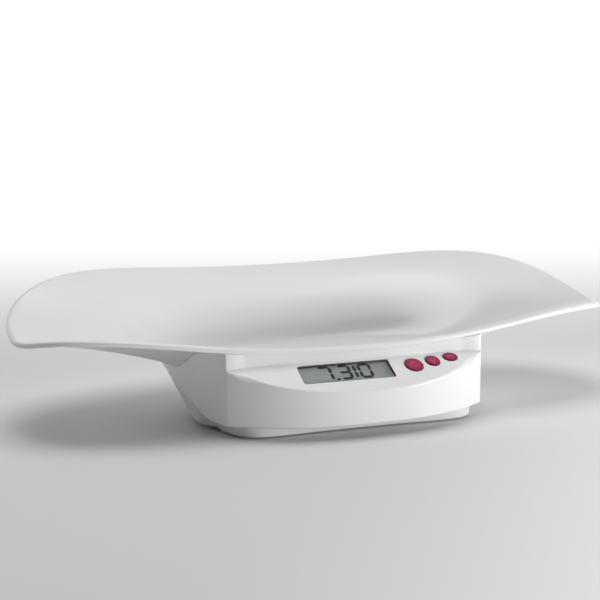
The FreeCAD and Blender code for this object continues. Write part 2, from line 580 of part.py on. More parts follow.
# ------------------------------------------------------------- internal leads
# each runs from its load cell up to the plug on the underside of the board


def pp(u, s, n):
    return (u, PANEL_Y + s * ct - n * st, PANEL_Z + s * st + n * ct)


leads = []
ends = {"front_left": pp(-3.5, 17, -17.4), "rear_left": pp(1.0, 17, -17.4), "rear_right": pp(23.0, 17, -17.4), "front_right": pp(28.5, 17, -17.4)}
zt = CELL_Z0 + CELL_T
dn = V(0, st, -ct)
routes = {
    "front_left": [(-106, -65, zt), (-106, -65, zt + 10), (-95, -69, 27), (-72, -88, 29), (-40, -104, 28)],
    "front_right": [(106, -65, zt), (106, -65, zt + 10), (95, -69, 26), (74, -90, 28), (44, -106, 27)],
    "rear_left": [(-78, 35, zt), (-78, 35, zt + 10), (-73, 24, 30), (-66, 0, 33), (-56, -32, 34), (-42, -62, 33), (-20, -88, 30)],
    "rear_right": [(78, 35, zt), (78, 35, zt + 10), (73, 24, 29), (66, 0, 32), (58, -32, 33), (46, -62, 32), (30, -90, 29)],
}
for nm in ("front_left", "front_right", "rear_left", "rear_right"):
    e = V(*ends[nm])
    k = e + dn * 9
    pts = routes[nm] + [tuple(k), tuple(e)]
    leads.append(tube(pts, 0.8))
add("load_cell_leads", Part.Compound(leads))
e = V(*pp(12.0, 17, -17.4)); k = e + dn * 9
bl = tube([(14.0, by0 - 1.6, 13.0), (14, by0 - 14, 13), (13, by0 - 34, 19), (12, -100, 25), tuple(k), tuple(e)], 1.1)
add("battery_lead", bl)

# ---------------------------------------------------------------------- write
os.makedirs("parts", exist_ok=True)
for name, shape in OUT.items():
    ok = shape.isValid()
    bb = shape.BoundBox
    print("%-28s valid %s solids %d vol %.0f  [%.1f %.1f %.1f] [%.1f %.1f %.1f]" % (
        name, ok, len(shape.Solids), shape.Volume, bb.XMin, bb.YMin, bb.ZMin, bb.XMax, bb.YMax, bb.ZMax))
    shape.exportStep("parts/%s.step" % name)
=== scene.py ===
import bpy, bmesh, math
import numpy as np
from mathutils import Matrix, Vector


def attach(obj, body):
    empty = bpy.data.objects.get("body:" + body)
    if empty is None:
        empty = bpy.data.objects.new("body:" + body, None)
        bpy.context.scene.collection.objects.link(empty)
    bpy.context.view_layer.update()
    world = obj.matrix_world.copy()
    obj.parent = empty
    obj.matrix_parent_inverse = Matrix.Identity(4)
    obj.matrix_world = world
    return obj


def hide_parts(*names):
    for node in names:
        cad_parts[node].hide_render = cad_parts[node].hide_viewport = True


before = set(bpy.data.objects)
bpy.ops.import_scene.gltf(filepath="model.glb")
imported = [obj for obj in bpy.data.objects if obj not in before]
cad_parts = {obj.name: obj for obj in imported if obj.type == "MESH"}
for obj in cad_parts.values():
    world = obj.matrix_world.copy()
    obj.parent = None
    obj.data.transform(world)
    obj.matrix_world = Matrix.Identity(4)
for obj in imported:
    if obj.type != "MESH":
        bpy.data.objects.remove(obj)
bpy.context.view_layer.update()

SC = bpy.context.scene
R = math.radians

# ------------------------------------------------------------------ shape (mm)
TRAY_A, TRAY_Y0 = 307.6, -7.6
TRAY_B1, TRAY_M1, TRAY_B2, TRAY_M2 = 95.6, 2.85, 149.7, 2.5
FLOOR_Z, TRAY_T = 51.5, 2.5
RIM_PHI = [-90, -79, -68.4, -55.8, -45, -34.2, -21.6, 0, 19.2, 32.7, 45, 57.3, 70.8, 90]
RIM_Z = [79.3, 80.7, 84.6, 92.7, 96.9, 96.1, 92.1, 93.7, 106.4, 120.5, 129.5, 130.1, 125.5, 122.5]
CREASE_X, CREASE_Y, BOW, BOW_N = 131.0, -108.0, 37.5, 2.5
SIDE_Z0, SIDE_Z1 = 5.5, 47.5
SIDE0 = [(131, -108), (138, -90), (142.6, -72), (144.2, -55), (143.6, -38), (139.6, -18),
         (131.5, 5), (116, 30), (92, 51), (62, 65), (30, 72), (0, 74)]
SIDE1 = [(131, -108), (140.5, -86), (146.6, -66), (151, -44), (155, -20), (156.6, 4),
         (152, 32), (136, 58), (110, 77), (75, 89.5), (38, 95.5), (0, 97)]
SWEEP = [(-112, 12.5), (-95, 12.8), (-80, 14.7), (-64, 19), (-48, 24), (-32, 28.3),
         (-17, 32.7), (-2, 37.5), (12, 41.8), (30, 44.9), (48, 45.8), (90, 46), (150, 46)]
SKIRT = [(0, -117), (40, -117.6), (70, -119), (90, -119.6), (104, -118), (115, -112.5), (121.5, -103.5),
         (125, -93), (128, -84), (133, -77), (139, -70.5), (146, -64), (153, -57)]
TILT, PANEL_Y, PANEL_Z, BAND_Y = 27.83, -145.5, 44.35, -106.8
ST, CT, TT = math.sin(R(TILT)), math.cos(R(TILT)), math.tan(R(TILT))
LCD_U, LCD_S, LCD_W, LCD_H = -16.2, 29.4, 92.5, 25.4
PANE_N, PANE_T, SEAL_T, LCD_T = -1.1, 1.2, 0.6, 2.8
# name, x, distance up the slope, half width, half height (the last button is oval)
BUTTONS = [("power", 53.7, 30.3, 8.9, 8.9), ("tare", 74.9, 34.0, 7.0, 7.0), ("unit", 95.1, 37.5, 7.2, 5.5)]
DECK_HI = 48.6
FEET = [("front_left", -106, -70), ("front_right", 106, -70), ("rear_left", -78, 30), ("rear_right", 78, 30)]
HOUSING_BOSSES = [(-106, -22), (106, -22), (-58, -84), (58, -84), (-34, 57), (34, 57)]
BAY_Y = -20.0
Z_BOT = 1.5


# --------------------------------------------------------------------- helpers
def spline_table(xs, ys, clamped=True):
    """cubic spline; clamped ends have zero slope, free ends zero curvature"""
    xs, ys = np.array(xs, float), np.array(ys, float)
    n = len(xs); h = np.diff(xs)
    A = np.zeros((n, n)); d = np.zeros(n)
    if clamped:
        A[0, :2] = 2 * h[0], h[0]; d[0] = 6 * (ys[1] - ys[0]) / h[0]
        A[-1, -2:] = h[-1], 2 * h[-1]; d[-1] = -6 * (ys[-1] - ys[-2]) / h[-1]
    else:
        A[0, 0] = A[-1, -1] = 1
    for i in range(1, n - 1):
        A[i, i - 1:i + 2] = h[i - 1], 2 * (h[i - 1] + h[i]), h[i]
        d[i] = 6 * ((ys[i + 1] - ys[i]) / h[i] - (ys[i] - ys[i - 1]) / h[i - 1])
    m = np.linalg.solve(A, d)

    def f(x):
        x = np.clip(np.asarray(x, float), xs[0], xs[-1])
        i = np.clip(np.searchsorted(xs, x, side="right") - 1, 0, n - 2)
        t0 = xs[i + 1] - x; t1 = x - xs[i]
        return (m[i] * t0 ** 3 + m[i + 1] * t1 ** 3) / (6 * h[i]) + \
            (ys[i] / h[i] - m[i] * h[i] / 6) * t0 + (ys[i + 1] / h[i] - m[i + 1] * h[i] / 6) * t1
    return f


def smooth(t):
    t = np.clip(t, 0.0, 1.0)
    return t * t * (3 - 2 * t)


def catmull(pts, n=12):
    out = []
    P = [(2 * pts[0][0] - pts[1][0], 2 * pts[0][1] - pts[1][1])] + list(pts) + [(-pts[-2][0], pts[-2][1])]
    for i in range(1, len(P) - 2):
        p0, p1, p2, p3 = (np.array(P[i + k], float) for k in (-1, 0, 1, 2))
        for k in range(n):
            t = k / n
            out.append(0.5 * (2 * p1 + (-p0 + p2) * t + (2 * p0 - 5 * p1 + 4 * p2 - p3) * t * t + (-p0 + 3 * p1 - 3 * p2 + p3) * t ** 3))
    out.append(np.array(pts[-1], float))
    return np.array(out)


def panel_pt(u, s, n):
    """panel coordinates (x, up the slope, height over the panel) to the frame, mm"""
    u, s, n = np.broadcast_arrays(np.asarray(u, float), np.asarray(s, float), np.asarray(n, float))
    return np.stack([u, PANEL_Y + s * CT - n * ST, PANEL_Z + s * ST + n * CT], -1)


def plain(u, s, n):
    u, s, n = np.broadcast_arrays(np.asarray(u, float), np.asarray(s, float), np.asarray(n, float))
    return np.stack([u, s, n], -1)


def pz(y, n=0.0):
    return PANEL_Z + (y - PANEL_Y) * TT + n / CT


def link(name, verts, faces, angle=38.0):
    me = bpy.data.meshes.new(name)
    me.from_pydata((np.asarray(verts, float) * 0.001).tolist(), [], faces)
    bm = bmesh.new(); bm.from_mesh(me)
    bmesh.ops.recalc_face_normals(bm, faces=bm.faces)
    bm.to_mesh(me); bm.free()
    me.shade_smooth()
    if angle:
        me.set_sharp_from_angle(angle=R(angle))
    ob = bpy.data.objects.new(name, me)
    SC.collection.objects.link(ob)
    return ob


def grid_faces(nr, nc, wrap_cols=True, wrap_rows=False, off=0):
    f = []
    for r in range(nr if wrap_rows else nr - 1):
        r2 = (r + 1) % nr
        for c in range(nc if wrap_cols else nc - 1):
            c2 = (c + 1) % nc
            f.append((off + r * nc + c, off + r * nc + c2, off + r2 * nc + c2, off + r2 * nc + c))
    return f


def skin(name, rows, pole0=None, pole1=None, wrap_rows=False, angle=38.0):
    """closed surface through closed rings of points, with a pole point or a flat cap at each end"""
    nr, nc = len(rows), len(rows[0])
    V = [np.asarray(r, float) for r in rows]
    verts = np.concatenate(V)
    faces = grid_faces(nr, nc, True, wrap_rows)
    if not wrap_rows:
        for pole, row in ((pole0, 0), (pole1, nr - 1)):
            if pole is None:
                ring = [row * nc + c for c in range(nc)]
                faces.append(tuple(ring if row else ring[::-1]))
            else:
                k = len(verts); verts = np.vstack([verts, pole])
                for c in range(nc):
                    faces.append((row * nc + c, row * nc + (c + 1) % nc, k))
    return link(name, verts, faces, angle)


def rrect(w, h, r, seg=6):
    """closed rounded rectangle about 0,0"""
    out = []
    for cx, cy, a0 in ((w / 2 - r, h / 2 - r, 0), (-w / 2 + r, h / 2 - r, 90), (-w / 2 + r, -h / 2 + r, 180), (w / 2 - r, -h / 2 + r, 270)):
        for i in range(seg + 1):
            a = R(a0 + 90 * i / seg)
            out.append((cx + r * math.cos(a), cy + r * math.sin(a)))
    return np.array(out)


def circle(r, n=64):
    a = np.arange(n) * 2 * math.pi / n
    return np.stack([r * np.cos(a), r * np.sin(a)], 1)


def ellipse(a, b, n=64):
    return circle(1.0, n) * [a, b]


def stack(name, levels, place=plain, cx=0.0, cy=0.0, pole=True, wrap=False, angle=38.0):
    """levels: (closed 2D ring, height); stacked upwards into a closed piece"""
    rows = [place(cx + ring[:, 0], cy + ring[:, 1], z) for ring, z in levels]
    c = None
    if pole:
        c0, c1 = place(cx, cy, levels[0][1]), place(cx, cy, levels[-1][1])
        return skin(name, rows, c0, c1, angle=angle)
    return skin(name, rows, wrap_rows=wrap, angle=angle)


def join(name, obs, angle=38.0):
    """several closed shells in one object"""
    vs, fs, off = [], [], 0
    for o in obs:
        me = o.data
        v = np.zeros(len(me.vertices) * 3); me.vertices.foreach_get("co", v)
        vs.append(v.reshape(-1, 3) * 1000)
        fs += [tuple(off + i for i in p.vertices) for p in me.polygons]
        off += len(me.vertices)
        bpy.data.objects.remove(o)
    return link(name, np.concatenate(vs), fs, angle)


def boolean(ob, op, others):
    """exact booleans, applied; the other objects are removed"""
    for o in others:
        m = ob.modifiers.new("cut", "BOOLEAN")
        m.operation = op; m.solver = "EXACT"; m.object = o
        dg = bpy.context.evaluated_depsgraph_get()
        new = bpy.data.meshes.new_from_object(ob.evaluated_get(dg))
        ob.modifiers.clear()
        old = ob.data; ob.data = new; bpy.data.meshes.remove(old)
        bpy.data.objects.remove(o)
    return ob


def finish_mesh(ob, angle=38.0, weighted=True):
    me = ob.data
    bm = bmesh.new(); bm.from_mesh(me)
    bmesh.ops.remove_doubles(bm, verts=bm.verts, dist=2e-7)
    bmesh.ops.dissolve_degenerate(bm, edges=bm.edges, dist=2e-7)
    bmesh.ops.recalc_face_normals(bm, faces=bm.faces)
    bm.to_mesh(me); bm.free()
    me.shade_smooth()
    me.set_sharp_from_angle(angle=R(angle))
    if weighted:
        m = ob.modifiers.new("normals", "WEIGHTED_NORMAL")
        m.mode = "FACE_AREA"; m.weight = 60; m.keep_sharp = True
    return ob


# ------------------------------------------------------------------- materials
def node_mat(name, col, rough, metallic=0.0, vary=0.03, scale=60.0, bump=0.02, bump_scale=900.0, rough_vary=0.05,
             coat=0.0, spec=0.5, fine=0.0, fine_scale=6000.0, ior=1.5, transmission=0.0, subsurface=0.0):
    """moulded or machined surface: soft colour and gloss variation, surface texture in two sizes"""
    m = bpy.data.materials.new(name)
    m.use_nodes = True
    nt = m.node_tree; N = nt.nodes; L = nt.links
    b = N["Principled BSDF"]
    b.inputs["Metallic"].default_value = metallic
    b.inputs["IOR"].default_value = ior
    b.inputs["Coat Weight"].default_value = coat
    b.inputs["Coat Roughness"].default_value = 0.12
    b.inputs["Specular IOR Level"].default_value = spec
    b.inputs["Transmission Weight"].default_value = transmission
    if subsurface:
        b.inputs["Subsurface Weight"].default_value = subsurface
        b.inputs["Subsurface Radius"].default_value = (1.0, 0.9, 0.8)
        b.inputs["Subsurface Scale"].default_value = 0.002
    tc = N.new("ShaderNodeTexCoord")
    n1 = N.new("ShaderNodeTexNoise"); n1.inputs["Scale"].default_value = scale; n1.inputs["Detail"].default_value = 4
    L.new(tc.outputs["Object"], n1.inputs["Vector"])
    ramp = N.new("ShaderNodeValToRGB")
    c = np.array(col[:3])
    # wide ends, so that no part of the noise is clipped into a flat patch
    ramp.color_ramp.elements[0].color = (*np.clip(c * (1 - 2 * vary), 0, 1), 1); ramp.color_ramp.elements[0].position = 0.05
    ramp.color_ramp.elements[1].color = (*np.clip(c * (1 + 2 * vary), 0, 1), 1); ramp.color_ramp.elements[1].position = 0.95
    L.new(n1.outputs["Fac"], ramp.inputs["Fac"]); L.new(ramp.outputs["Color"], b.inputs["Base Color"])
    mr = N.new("ShaderNodeMapRange")
    mr.inputs["To Min"].default_value = max(0.02, rough - rough_vary); mr.inputs["To Max"].default_value = rough + rough_vary
    n2 = N.new("ShaderNodeTexNoise"); n2.inputs["Scale"].default_value = scale * 3.1; n2.inputs["Detail"].default_value = 6
    L.new(tc.outputs["Object"], n2.inputs["Vector"])
    L.new(n2.outputs["Fac"], mr.inputs["Value"]); L.new(mr.outputs["Result"], b.inputs["Roughness"])
    n3 = N.new("ShaderNodeTexNoise"); n3.inputs["Scale"].default_value = bump_scale; n3.inputs["Detail"].default_value = 3
    L.new(tc.outputs["Object"], n3.inputs["Vector"])
    bp = N.new("ShaderNodeBump"); bp.inputs["Strength"].default_value = bump; bp.inputs["Distance"].default_value = 0.0004
    L.new(n3.outputs["Fac"], bp.inputs["Height"])
    if fine:
        n4 = N.new("ShaderNodeTexVoronoi"); n4.inputs["Scale"].default_value = fine_scale
        L.new(tc.outputs["Object"], n4.inputs["Vector"])
        bp2 = N.new("ShaderNodeBump"); bp2.inputs["Strength"].default_value = fine; bp2.inputs["Distance"].default_value = 0.0001
        L.new(n4.outputs["Distance"], bp2.inputs["Height"]); L.new(bp.outputs["Normal"], bp2.inputs["Normal"])
        L.new(bp2.outputs["Normal"], b.inputs["Normal"])
    else:
        L.new(bp.outputs["Normal"], b.inputs["Normal"])
    return m


M = {
    "tray_white": node_mat("tray_white", (0.86, 0.86, 0.865), 0.30, vary=0.012, scale=18, bump=0.025, bump_scale=420, rough_vary=0.05, coat=0.15),
    "housing_white": node_mat("housing_white", (0.85, 0.85, 0.855), 0.30, vary=0.012, scale=22, bump=0.02, bump_scale=500, rough_vary=0.05, coat=0.15),
    "tub_white": node_mat("tub_white", (0.70, 0.70, 0.71), 0.42, vary=0.02, scale=30, bump=0.06, bump_scale=1500, rough_vary=0.06, fine=0.08),
    # black foam for the display seal, also used as painted shade on the walls of the display opening
    "gasket_foam": node_mat("gasket_foam", (0.022, 0.023, 0.024), 0.6, vary=0.2, scale=300, bump=0.1, bump_scale=3000),
    "lcd_face": node_mat("lcd_face", (0.49, 0.51, 0.52), 0.38, vary=0.03, scale=40, bump=0.01, bump_scale=2500, rough_vary=0.04),
    "lcd_ink": node_mat("lcd_ink", (0.004, 0.005, 0.006), 0.55, spec=0.2, vary=0.1, scale=80, bump=0.01, bump_scale=2500),
    "holder_plastic": node_mat("holder_plastic", (0.05, 0.05, 0.055), 0.5, vary=0.06, bump=0.1, bump_scale=2500),
    "connector_rubber": node_mat("connector_rubber", (0.62, 0.38, 0.42), 0.6, vary=0.12, scale=400, bump=0.1),
    "circuit_board": node_mat("circuit_board", (0.02, 0.17, 0.06), 0.35, vary=0.25, scale=160, bump=0.15, bump_scale=700),
    "component_body": node_mat("component_body", (0.035, 0.035, 0.038), 0.45, vary=0.15, scale=200, bump=0.1, bump_scale=3000),
    "plunger_plastic": node_mat("plunger_plastic", (0.06, 0.06, 0.065), 0.5, vary=0.1, bump=0.1),
    "button_raspberry": node_mat("button_raspberry", (0.37, 0.008, 0.068), 0.36, spec=0.35, vary=0.06, scale=220, bump=0.05, bump_scale=2600, rough_vary=0.06),
    # painted shade: a darker red for the caps' sides and edges, in place of the shadow in the gap round each cap
    "button_painted_shade_edge": node_mat("button_painted_shade_edge", (0.17, 0.006, 0.034), 0.42, spec=0.3, vary=0.05, scale=240, bump=0.03),
    "button_mark": node_mat("button_mark", (0.55, 0.10, 0.21), 0.45, vary=0.05, scale=260, bump=0.03),
    "screw_steel": node_mat("screw_steel", (0.56, 0.56, 0.58), 0.28, metallic=1.0, vary=0.06, scale=300, bump=0.06, bump_scale=4000),
    "battery_sleeve": node_mat("battery_sleeve", (0.075, 0.085, 0.10), 0.30, vary=0.08, scale=120, bump=0.03, coat=0.3),
    "contact_steel": node_mat("contact_steel", (0.70, 0.69, 0.66), 0.18, metallic=1.0, vary=0.05, scale=300, bump=0.03),
    "cell_steel": node_mat("cell_steel", (0.62, 0.62, 0.63), 0.35, metallic=1.0, vary=0.05, scale=250, bump=0.08, bump_scale=3000),
    "cup_plastic": node_mat("cup_plastic", (0.62, 0.62, 0.62), 0.5, vary=0.03, scale=90, bump=0.08, bump_scale=1800),
    "pad_rubber": node_mat("pad_rubber", (0.42, 0.42, 0.415), 0.75, vary=0.06, scale=150, bump=0.25, bump_scale=2200, fine=0.3, fine_scale=3500),
    "lead_insulation": node_mat("lead_insulation", (0.38, 0.02, 0.02), 0.45, vary=0.15, scale=200, bump=0.05),
}


def glass():
    m = bpy.data.materials.new("window_clear")
    m.use_nodes = True
    nt = m.node_tree; N = nt.nodes; L = nt.links
    b = N["Principled BSDF"]
    b.inputs["Base Color"].default_value = (0.97, 0.985, 0.985, 1)
    b.inputs["Transmission Weight"].default_value = 1.0
    b.inputs["IOR"].default_value = 1.3
    b.inputs["Specular IOR Level"].default_value = 0.3
    tc = N.new("ShaderNodeTexCoord")
    n = N.new("ShaderNodeTexNoise"); n.inputs["Scale"].default_value = 120; n.inputs["Detail"].default_value = 5
    mr = N.new("ShaderNodeMapRange"); mr.inputs["To Min"].default_value = 0.0; mr.inputs["To Max"].default_value = 0.035
    L.new(tc.outputs["Object"], n.inputs["Vector"]); L.new(n.outputs["Fac"], mr.inputs["Value"])
    L.new(mr.outputs["Result"], b.inputs["Roughness"])
    return m


M["window_clear"] = glass()


def dress(ob, mat, body="scale", replaces=()):
    ob.data.materials.clear()
    ob.data.materials.append(M[mat])
    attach(ob, body)
    if replaces:
        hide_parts(*replaces)
    return ob


# ------------------------------------------------------------------------ tray
rim_z = spline_table(RIM_PHI, RIM_Z)
RHO0 = 0.42


def rise(rho):
    t = np.clip((np.asarray(rho, float) - RHO0) / (1 - RHO0), 0, None)
    k = 0.18
    soft = np.where(t < k, t * t / (2 * k), t - k / 2)
    w = np.minimum(t / 0.25, 1.0)
    return soft / (1 - k / 2) + 0.15 * np.sin(math.pi * t) * w * w * (3 - 2 * w)


def crest(psi):
    """psi in degrees from -90 once round: plan point about the tray's centre, outward normal, crest height"""
    psi = np.asarray(psi, float)
    right = psi <= 90
    phi = np.where(right, psi, 180 - psi)
    c, s = np.cos(np.radians(phi)), np.sin(np.radians(phi))
    B = np.where(s < 0, TRAY_B1, TRAY_B2); m = np.where(s < 0, TRAY_M1, TRAY_M2)
    r = (np.abs(c) ** m + np.abs(s) ** m) ** (-1.0 / m)
    x, y = TRAY_A * r * c, B * r * s
    nx = (np.abs(x / TRAY_A) ** (m - 1)) / TRAY_A
    ny = (np.abs(y / B) ** (m - 1)) / B * np.sign(y + 1e-12)
    L = np.hypot(nx, ny)
    sg = np.where(right, 1.0, -1.0)
    return np.stack([x * sg, y], -1), np.stack([nx / L * sg, ny / L], -1), rim_z(phi)


def tray_under(x, y):
    """height of the tray's underside, with running room, over a plan point"""
    x, y = np.abs(np.asarray(x, float)), np.asarray(y, float) - TRAY_Y0
    B = np.where(y < 0, TRAY_B1, TRAY_B2); m = np.where(y < 0, TRAY_M1, TRAY_M2)
    X, Y = x / TRAY_A, y / B
    phi = np.arctan2(Y, X)
    rs = (np.abs(np.cos(phi)) ** m + np.abs(np.sin(phi)) ** m) ** (-1.0 / m)
    rho = np.hypot(X, Y) / rs
    rz = rim_z(np.degrees(phi))
    inner = FLOOR_Z + (rz - FLOOR_Z) * rise(np.minimum(rho, 0.96)) - TRAY_T - 0.4
    edge = rz - 5.5 - 0.06
    w = np.clip((rho - 0.96) / 0.04, 0, 1)
    return np.where(rho < 0.96, inner, inner * (1 - w) + edge * w)


NT = 440
dense = np.linspace(-90, 270, 7201)
dp, _, dz_ = crest(dense)
seg = np.concatenate([[0], np.cumsum(np.hypot(*np.diff(dp, axis=0).T))])
psi = np.interp(np.arange(NT) / NT * seg[-1], seg, dense)
CP, CN, CZ = crest(psi)
SUP = CP[:, 0] * CN[:, 0] + CP[:, 1] * CN[:, 1]        # support distance, turns rho into distance from the crest


def top_row(rho, drop=0.0):
    rho = np.broadcast_to(rho, (NT,))
    return np.column_stack([CP[:, 0] * rho, TRAY_Y0 + CP[:, 1] * rho, FLOOR_Z + (CZ - FLOOR_Z) * rise(rho) - drop])


def lip_pts(out, dz):
    out = np.broadcast_to(out, (NT,)); dz = np.broadcast_to(dz, (NT,))
    return np.column_stack([CP[:, 0] + CN[:, 0] * out, TRAY_Y0 + CP[:, 1] + CN[:, 1] * out, CZ + dz])


def bez(P, t):
    P0, P1, P2, P3 = P
    return P0 * (1 - t) ** 3 + P1 * 3 * t * (1 - t) ** 2 + P2 * 3 * t * t * (1 - t) + P3 * t ** 3


def tray_rows():
    rows = []
    for r in (0.12, 0.24, 0.34, 0.39):
        rows.append(top_row(r))
    rc = 1 - 2.5 / SUP
    n = 46
    for i in range(n + 1):
        t = i / n
        rows.append(top_row(0.42 + (rc - 0.42) * (t * 0.85 + 0.15 * (1 - (1 - t) ** 2))))
    e = 0.002
    a, b = top_row(rc - e), top_row(rc)
    T = b - a; T /= np.linalg.norm(T, axis=1)[:, None]
    P0 = rows[-1]; P3 = lip_pts(3.4, -3.0)
    up = np.array([0, 0, 1.0])
    P = (P0, P0 + T * 3.5, P3 + up * 2.5, P3)
    for i in range(1, 11):
        rows.append(bez(P, i / 10))
    # the lip's lower edge: crisp where it meets the band over the panel, rounder elsewhere
    wf = np.where(CP[:, 1] < 0, 1 - smooth((np.abs(CP[:, 0]) - 127.0) / 10.0), 0.0)
    crisp = ((3.4, -4.6), (3.4, -5.15), (3.37, -5.35), (3.27, -5.47), (3.1, -5.5), (2.2, -5.5), (1.6, -5.3), (1.42, -4.8), (1.4, -4.3))
    plump = ((3.4, -4.0), (3.38, -4.7), (3.22, -5.15), (2.9, -5.42), (2.45, -5.5), (2.0, -5.45), (1.65, -5.2), (1.45, -4.8), (1.4, -4.3))
    for (o1, d1), (o2, d2) in zip(crisp, plump):
        rows.append(lip_pts(o1 * wf + o2 * (1 - wf), d1 * wf + d2 * (1 - wf)))
    ru = 1 - 3.2 / SUP
    a, b = top_row(ru - e, TRAY_T), top_row(ru, TRAY_T)
    T = b - a; T /= np.linalg.norm(T, axis=1)[:, None]
    P = (rows[-1], rows[-1] + up * 1.0, b + T * 1.6, b)
    for i in range(1, 7):
        rows.append(bez(P, i / 6))
    for i in range(1, 31):
        t = i / 30
        rows.append(top_row(ru + (0.42 - ru) * t, TRAY_T))
    for r in (0.39, 0.34, 0.24, 0.12):
        rows.append(top_row(r, TRAY_T))
    return rows


tray = skin("tray_shell", tray_rows(), np.array([0, TRAY_Y0, FLOOR_Z]), np.array([0, TRAY_Y0, FLOOR_Z - TRAY_T]), angle=60)
dress(tray, "tray_white", replaces=("tray",))

# ------------------------------------------------- outlines of the lower half
half0, half1 = catmull(SIDE0), catmull(SIDE1)
NK = len(half0) - 1
_mid = (half0 + half1) / 2
TAU = np.concatenate([[0], np.cumsum(np.hypot(*np.diff(_mid, axis=0).T))])


def side_at(tau, z):
    """right-hand side and rear outline: distance from the crease along it, height"""
    tau, z = np.broadcast_arrays(np.asarray(tau, float), np.asarray(z, float))
    k = np.interp(tau, TAU, np.arange(NK + 1))
    i = np.clip(k.astype(int), 0, NK - 1); w = (k - i)[..., None]
    a = half0[i] * (1 - w) + half0[i + 1] * w
    b = half1[i] * (1 - w) + half1[i + 1] * w
    f = ((z - SIDE_Z0) / (SIDE_Z1 - SIDE_Z0))[..., None]
    return a + (b - a) * f


def bow_y(x):
    return CREASE_Y - BOW * (1 - np.minimum(1.0, np.abs(x / CREASE_X)) ** BOW_N)


_sw = spline_table([p[0] for p in SWEEP], [p[1] for p in SWEEP], clamped=False)


def sweep(y):
    return np.where(np.asarray(y) < -112, 12.5, _sw(y))


# lip line of the tray in front, as y over x
_cp, _cn, _cz = crest(np.linspace(-90, 0, 1200))
_lx, _ly = _cp[:, 0] + 3.4 * _cn[:, 0], TRAY_Y0 + _cp[:, 1] + 3.4 * _cn[:, 1]


def lip_y(x):
    return np.interp(np.abs(x), _lx, _ly)


def lip_z(x):
    """height of the lip's lower edge in front, over x"""
    return np.interp(np.abs(x), _lx, _cz) - 5.5


# ---------------------------------------------------------------- housing ring
TC = 1.4                     # half width of the rounded upright edge
NF, NC = 54, 6
tau_side = np.concatenate([np.linspace(TC, 40, 18, endpoint=False), np.linspace(40, TAU[-1], 92)])
NCOL = NF + 1 + (NC - 1) + len(tau_side)
kind = np.array([0] * (NF + 1) + [1] * (NC - 1) + [2] * len(tau_side))
fr = np.concatenate([np.arange(NF + 1) / NF, np.ones(NCOL - NF - 1)])
tb = np.concatenate([np.zeros(NF + 1), np.arange(1, NC) / NC, np.ones(len(tau_side))])
ts = np.concatenate([np.full(NF + NC, TC), tau_side])


def band_y0(x):
    """foot of the band on the panel: straight in the middle, set back a little by the last button, forward again at the corners"""
    x = np.abs(x)
    return BAND_Y + 2.0 * smooth((x - 50.0) / 38.0) * (1 - smooth((x - 108.0) / 20.0))


def band_y1(x):
    """top of the band: flush with the tray's lip, coming a little forward of it at the corners"""
    return lip_y(x) - 0.04 - 2.6 * smooth((np.abs(x) - 108.0) / 20.0)


def ring_plan(z, g):
    """plan points of the right-hand columns; g None on the wall, else 0..1 up the band"""
    z = np.broadcast_to(np.asarray(z, float), (NCOL,))
    if g is None:
        xa = CREASE_X - TC * 0.813
        x = fr * xa
        A = np.stack([x, bow_y(x)], -1)
        K = np.broadcast_to(np.array([CREASE_X, CREASE_Y]), (NCOL, 2))
        C = side_at(ts, z)
    else:
        yk = band_y0(131.0) + (band_y1(131.0) - band_y0(131.0)) * smooth(g)
        tk = (yk - CREASE_Y) / 0.925
        K = side_at(np.full(NCOL, tk), z)
        xa = K[:, 0] - TC * 1.15
        x = fr * xa
        yb = band_y0(x) + (band_y1(x) - band_y0(x)) * smooth(g)
        A = np.stack([x, yb], -1)
        C = side_at(ts + tk * np.clip(1 - (ts - TC) / 34.0, 0, 1), z)
    t = tb[:, None]
    return A * (1 - t) ** 2 + K * 2 * t * (1 - t) + C * t * t


def ring3(z, g=None):
    p = ring_plan(z, g)
    return np.column_stack([p, np.broadcast_to(z, (NCOL,))])


# bottom, top and the panel's two edges on each column
zb = np.full(NCOL, 13.0)
for _ in range(6):
    zb = sweep(ring_plan(zb, None)[:, 1]) + 0.15
zt = np.full(NCOL, 74.0)
for _ in range(40):
    p = ring_plan(zt, 1.0)
    lim = np.interp(p[:, 1], [-12, 40], [96.5, DECK_HI])
    a = tray_under(p[:, 0], p[:, 1])
    a = np.where(p[:, 1] < lip_y(p[:, 0]) + 2.0, lip_z(p[:, 0]) - 0.05, a)       # flush under the lip in front
    k = np.clip(0.5 + 0.5 * (lim - a) / 7.0, 0, 1)
    tgt = lim * (1 - k) + a * k - 3.5 * k * (1 - k)
    k = np.clip(0.5 + 0.5 * (tgt - DECK_HI) / 5.0, 0, 1)
    tgt = DECK_HI * (1 - k) + tgt * k + np.where(p[:, 1] > 5, 2.5, 0.0) * k * (1 - k)
    zt = zt + (np.maximum(tgt, DECK_HI) - zt) * 0.5
_xf = fr * (CREASE_X - TC * 1.15)
zf0 = pz(band_y0(_xf))
cr = NF + NC // 2
fe = (pz(CREASE_Y) - zb[cr]) / (zt[cr] - zb[cr]); ff = (zf0[cr] - zb[cr]) / (zt[cr] - zb[cr])
pw = ring_plan(40.0, None)
ze = np.where(kind == 2, zb + (zt - zb) * fe, pz(np.where(kind == 0, pw[:, 1], CREASE_Y)))
zf = np.where(kind == 2, zb + (zt - zb) * ff, zf0)
E, F = ring3(ze), ring3(zf, 0.0)
EF = F - E; dEF = np.linalg.norm(EF, axis=1); uEF = EF / np.maximum(dEF, 1e-6)[:, None]
up = np.array([0, 0, 1.0])
tr = 1.9 + 6.0 * smooth((np.abs(pw[:, 0]) - 92) / 32.0)
tr = np.minimum(np.where(kind == 0, tr, 0.5), 0.42 * dEF)
tf = np.minimum(np.where(kind == 0, 2.6 - 1.7 * smooth((np.abs(pw[:, 0]) - 62) / 25.0), 0.5), 0.36 * dEF)

rows = []
rb = np.minimum(0.7, (zt - zb) * 0.3)
# rounded bottom edge (plan inset, height)


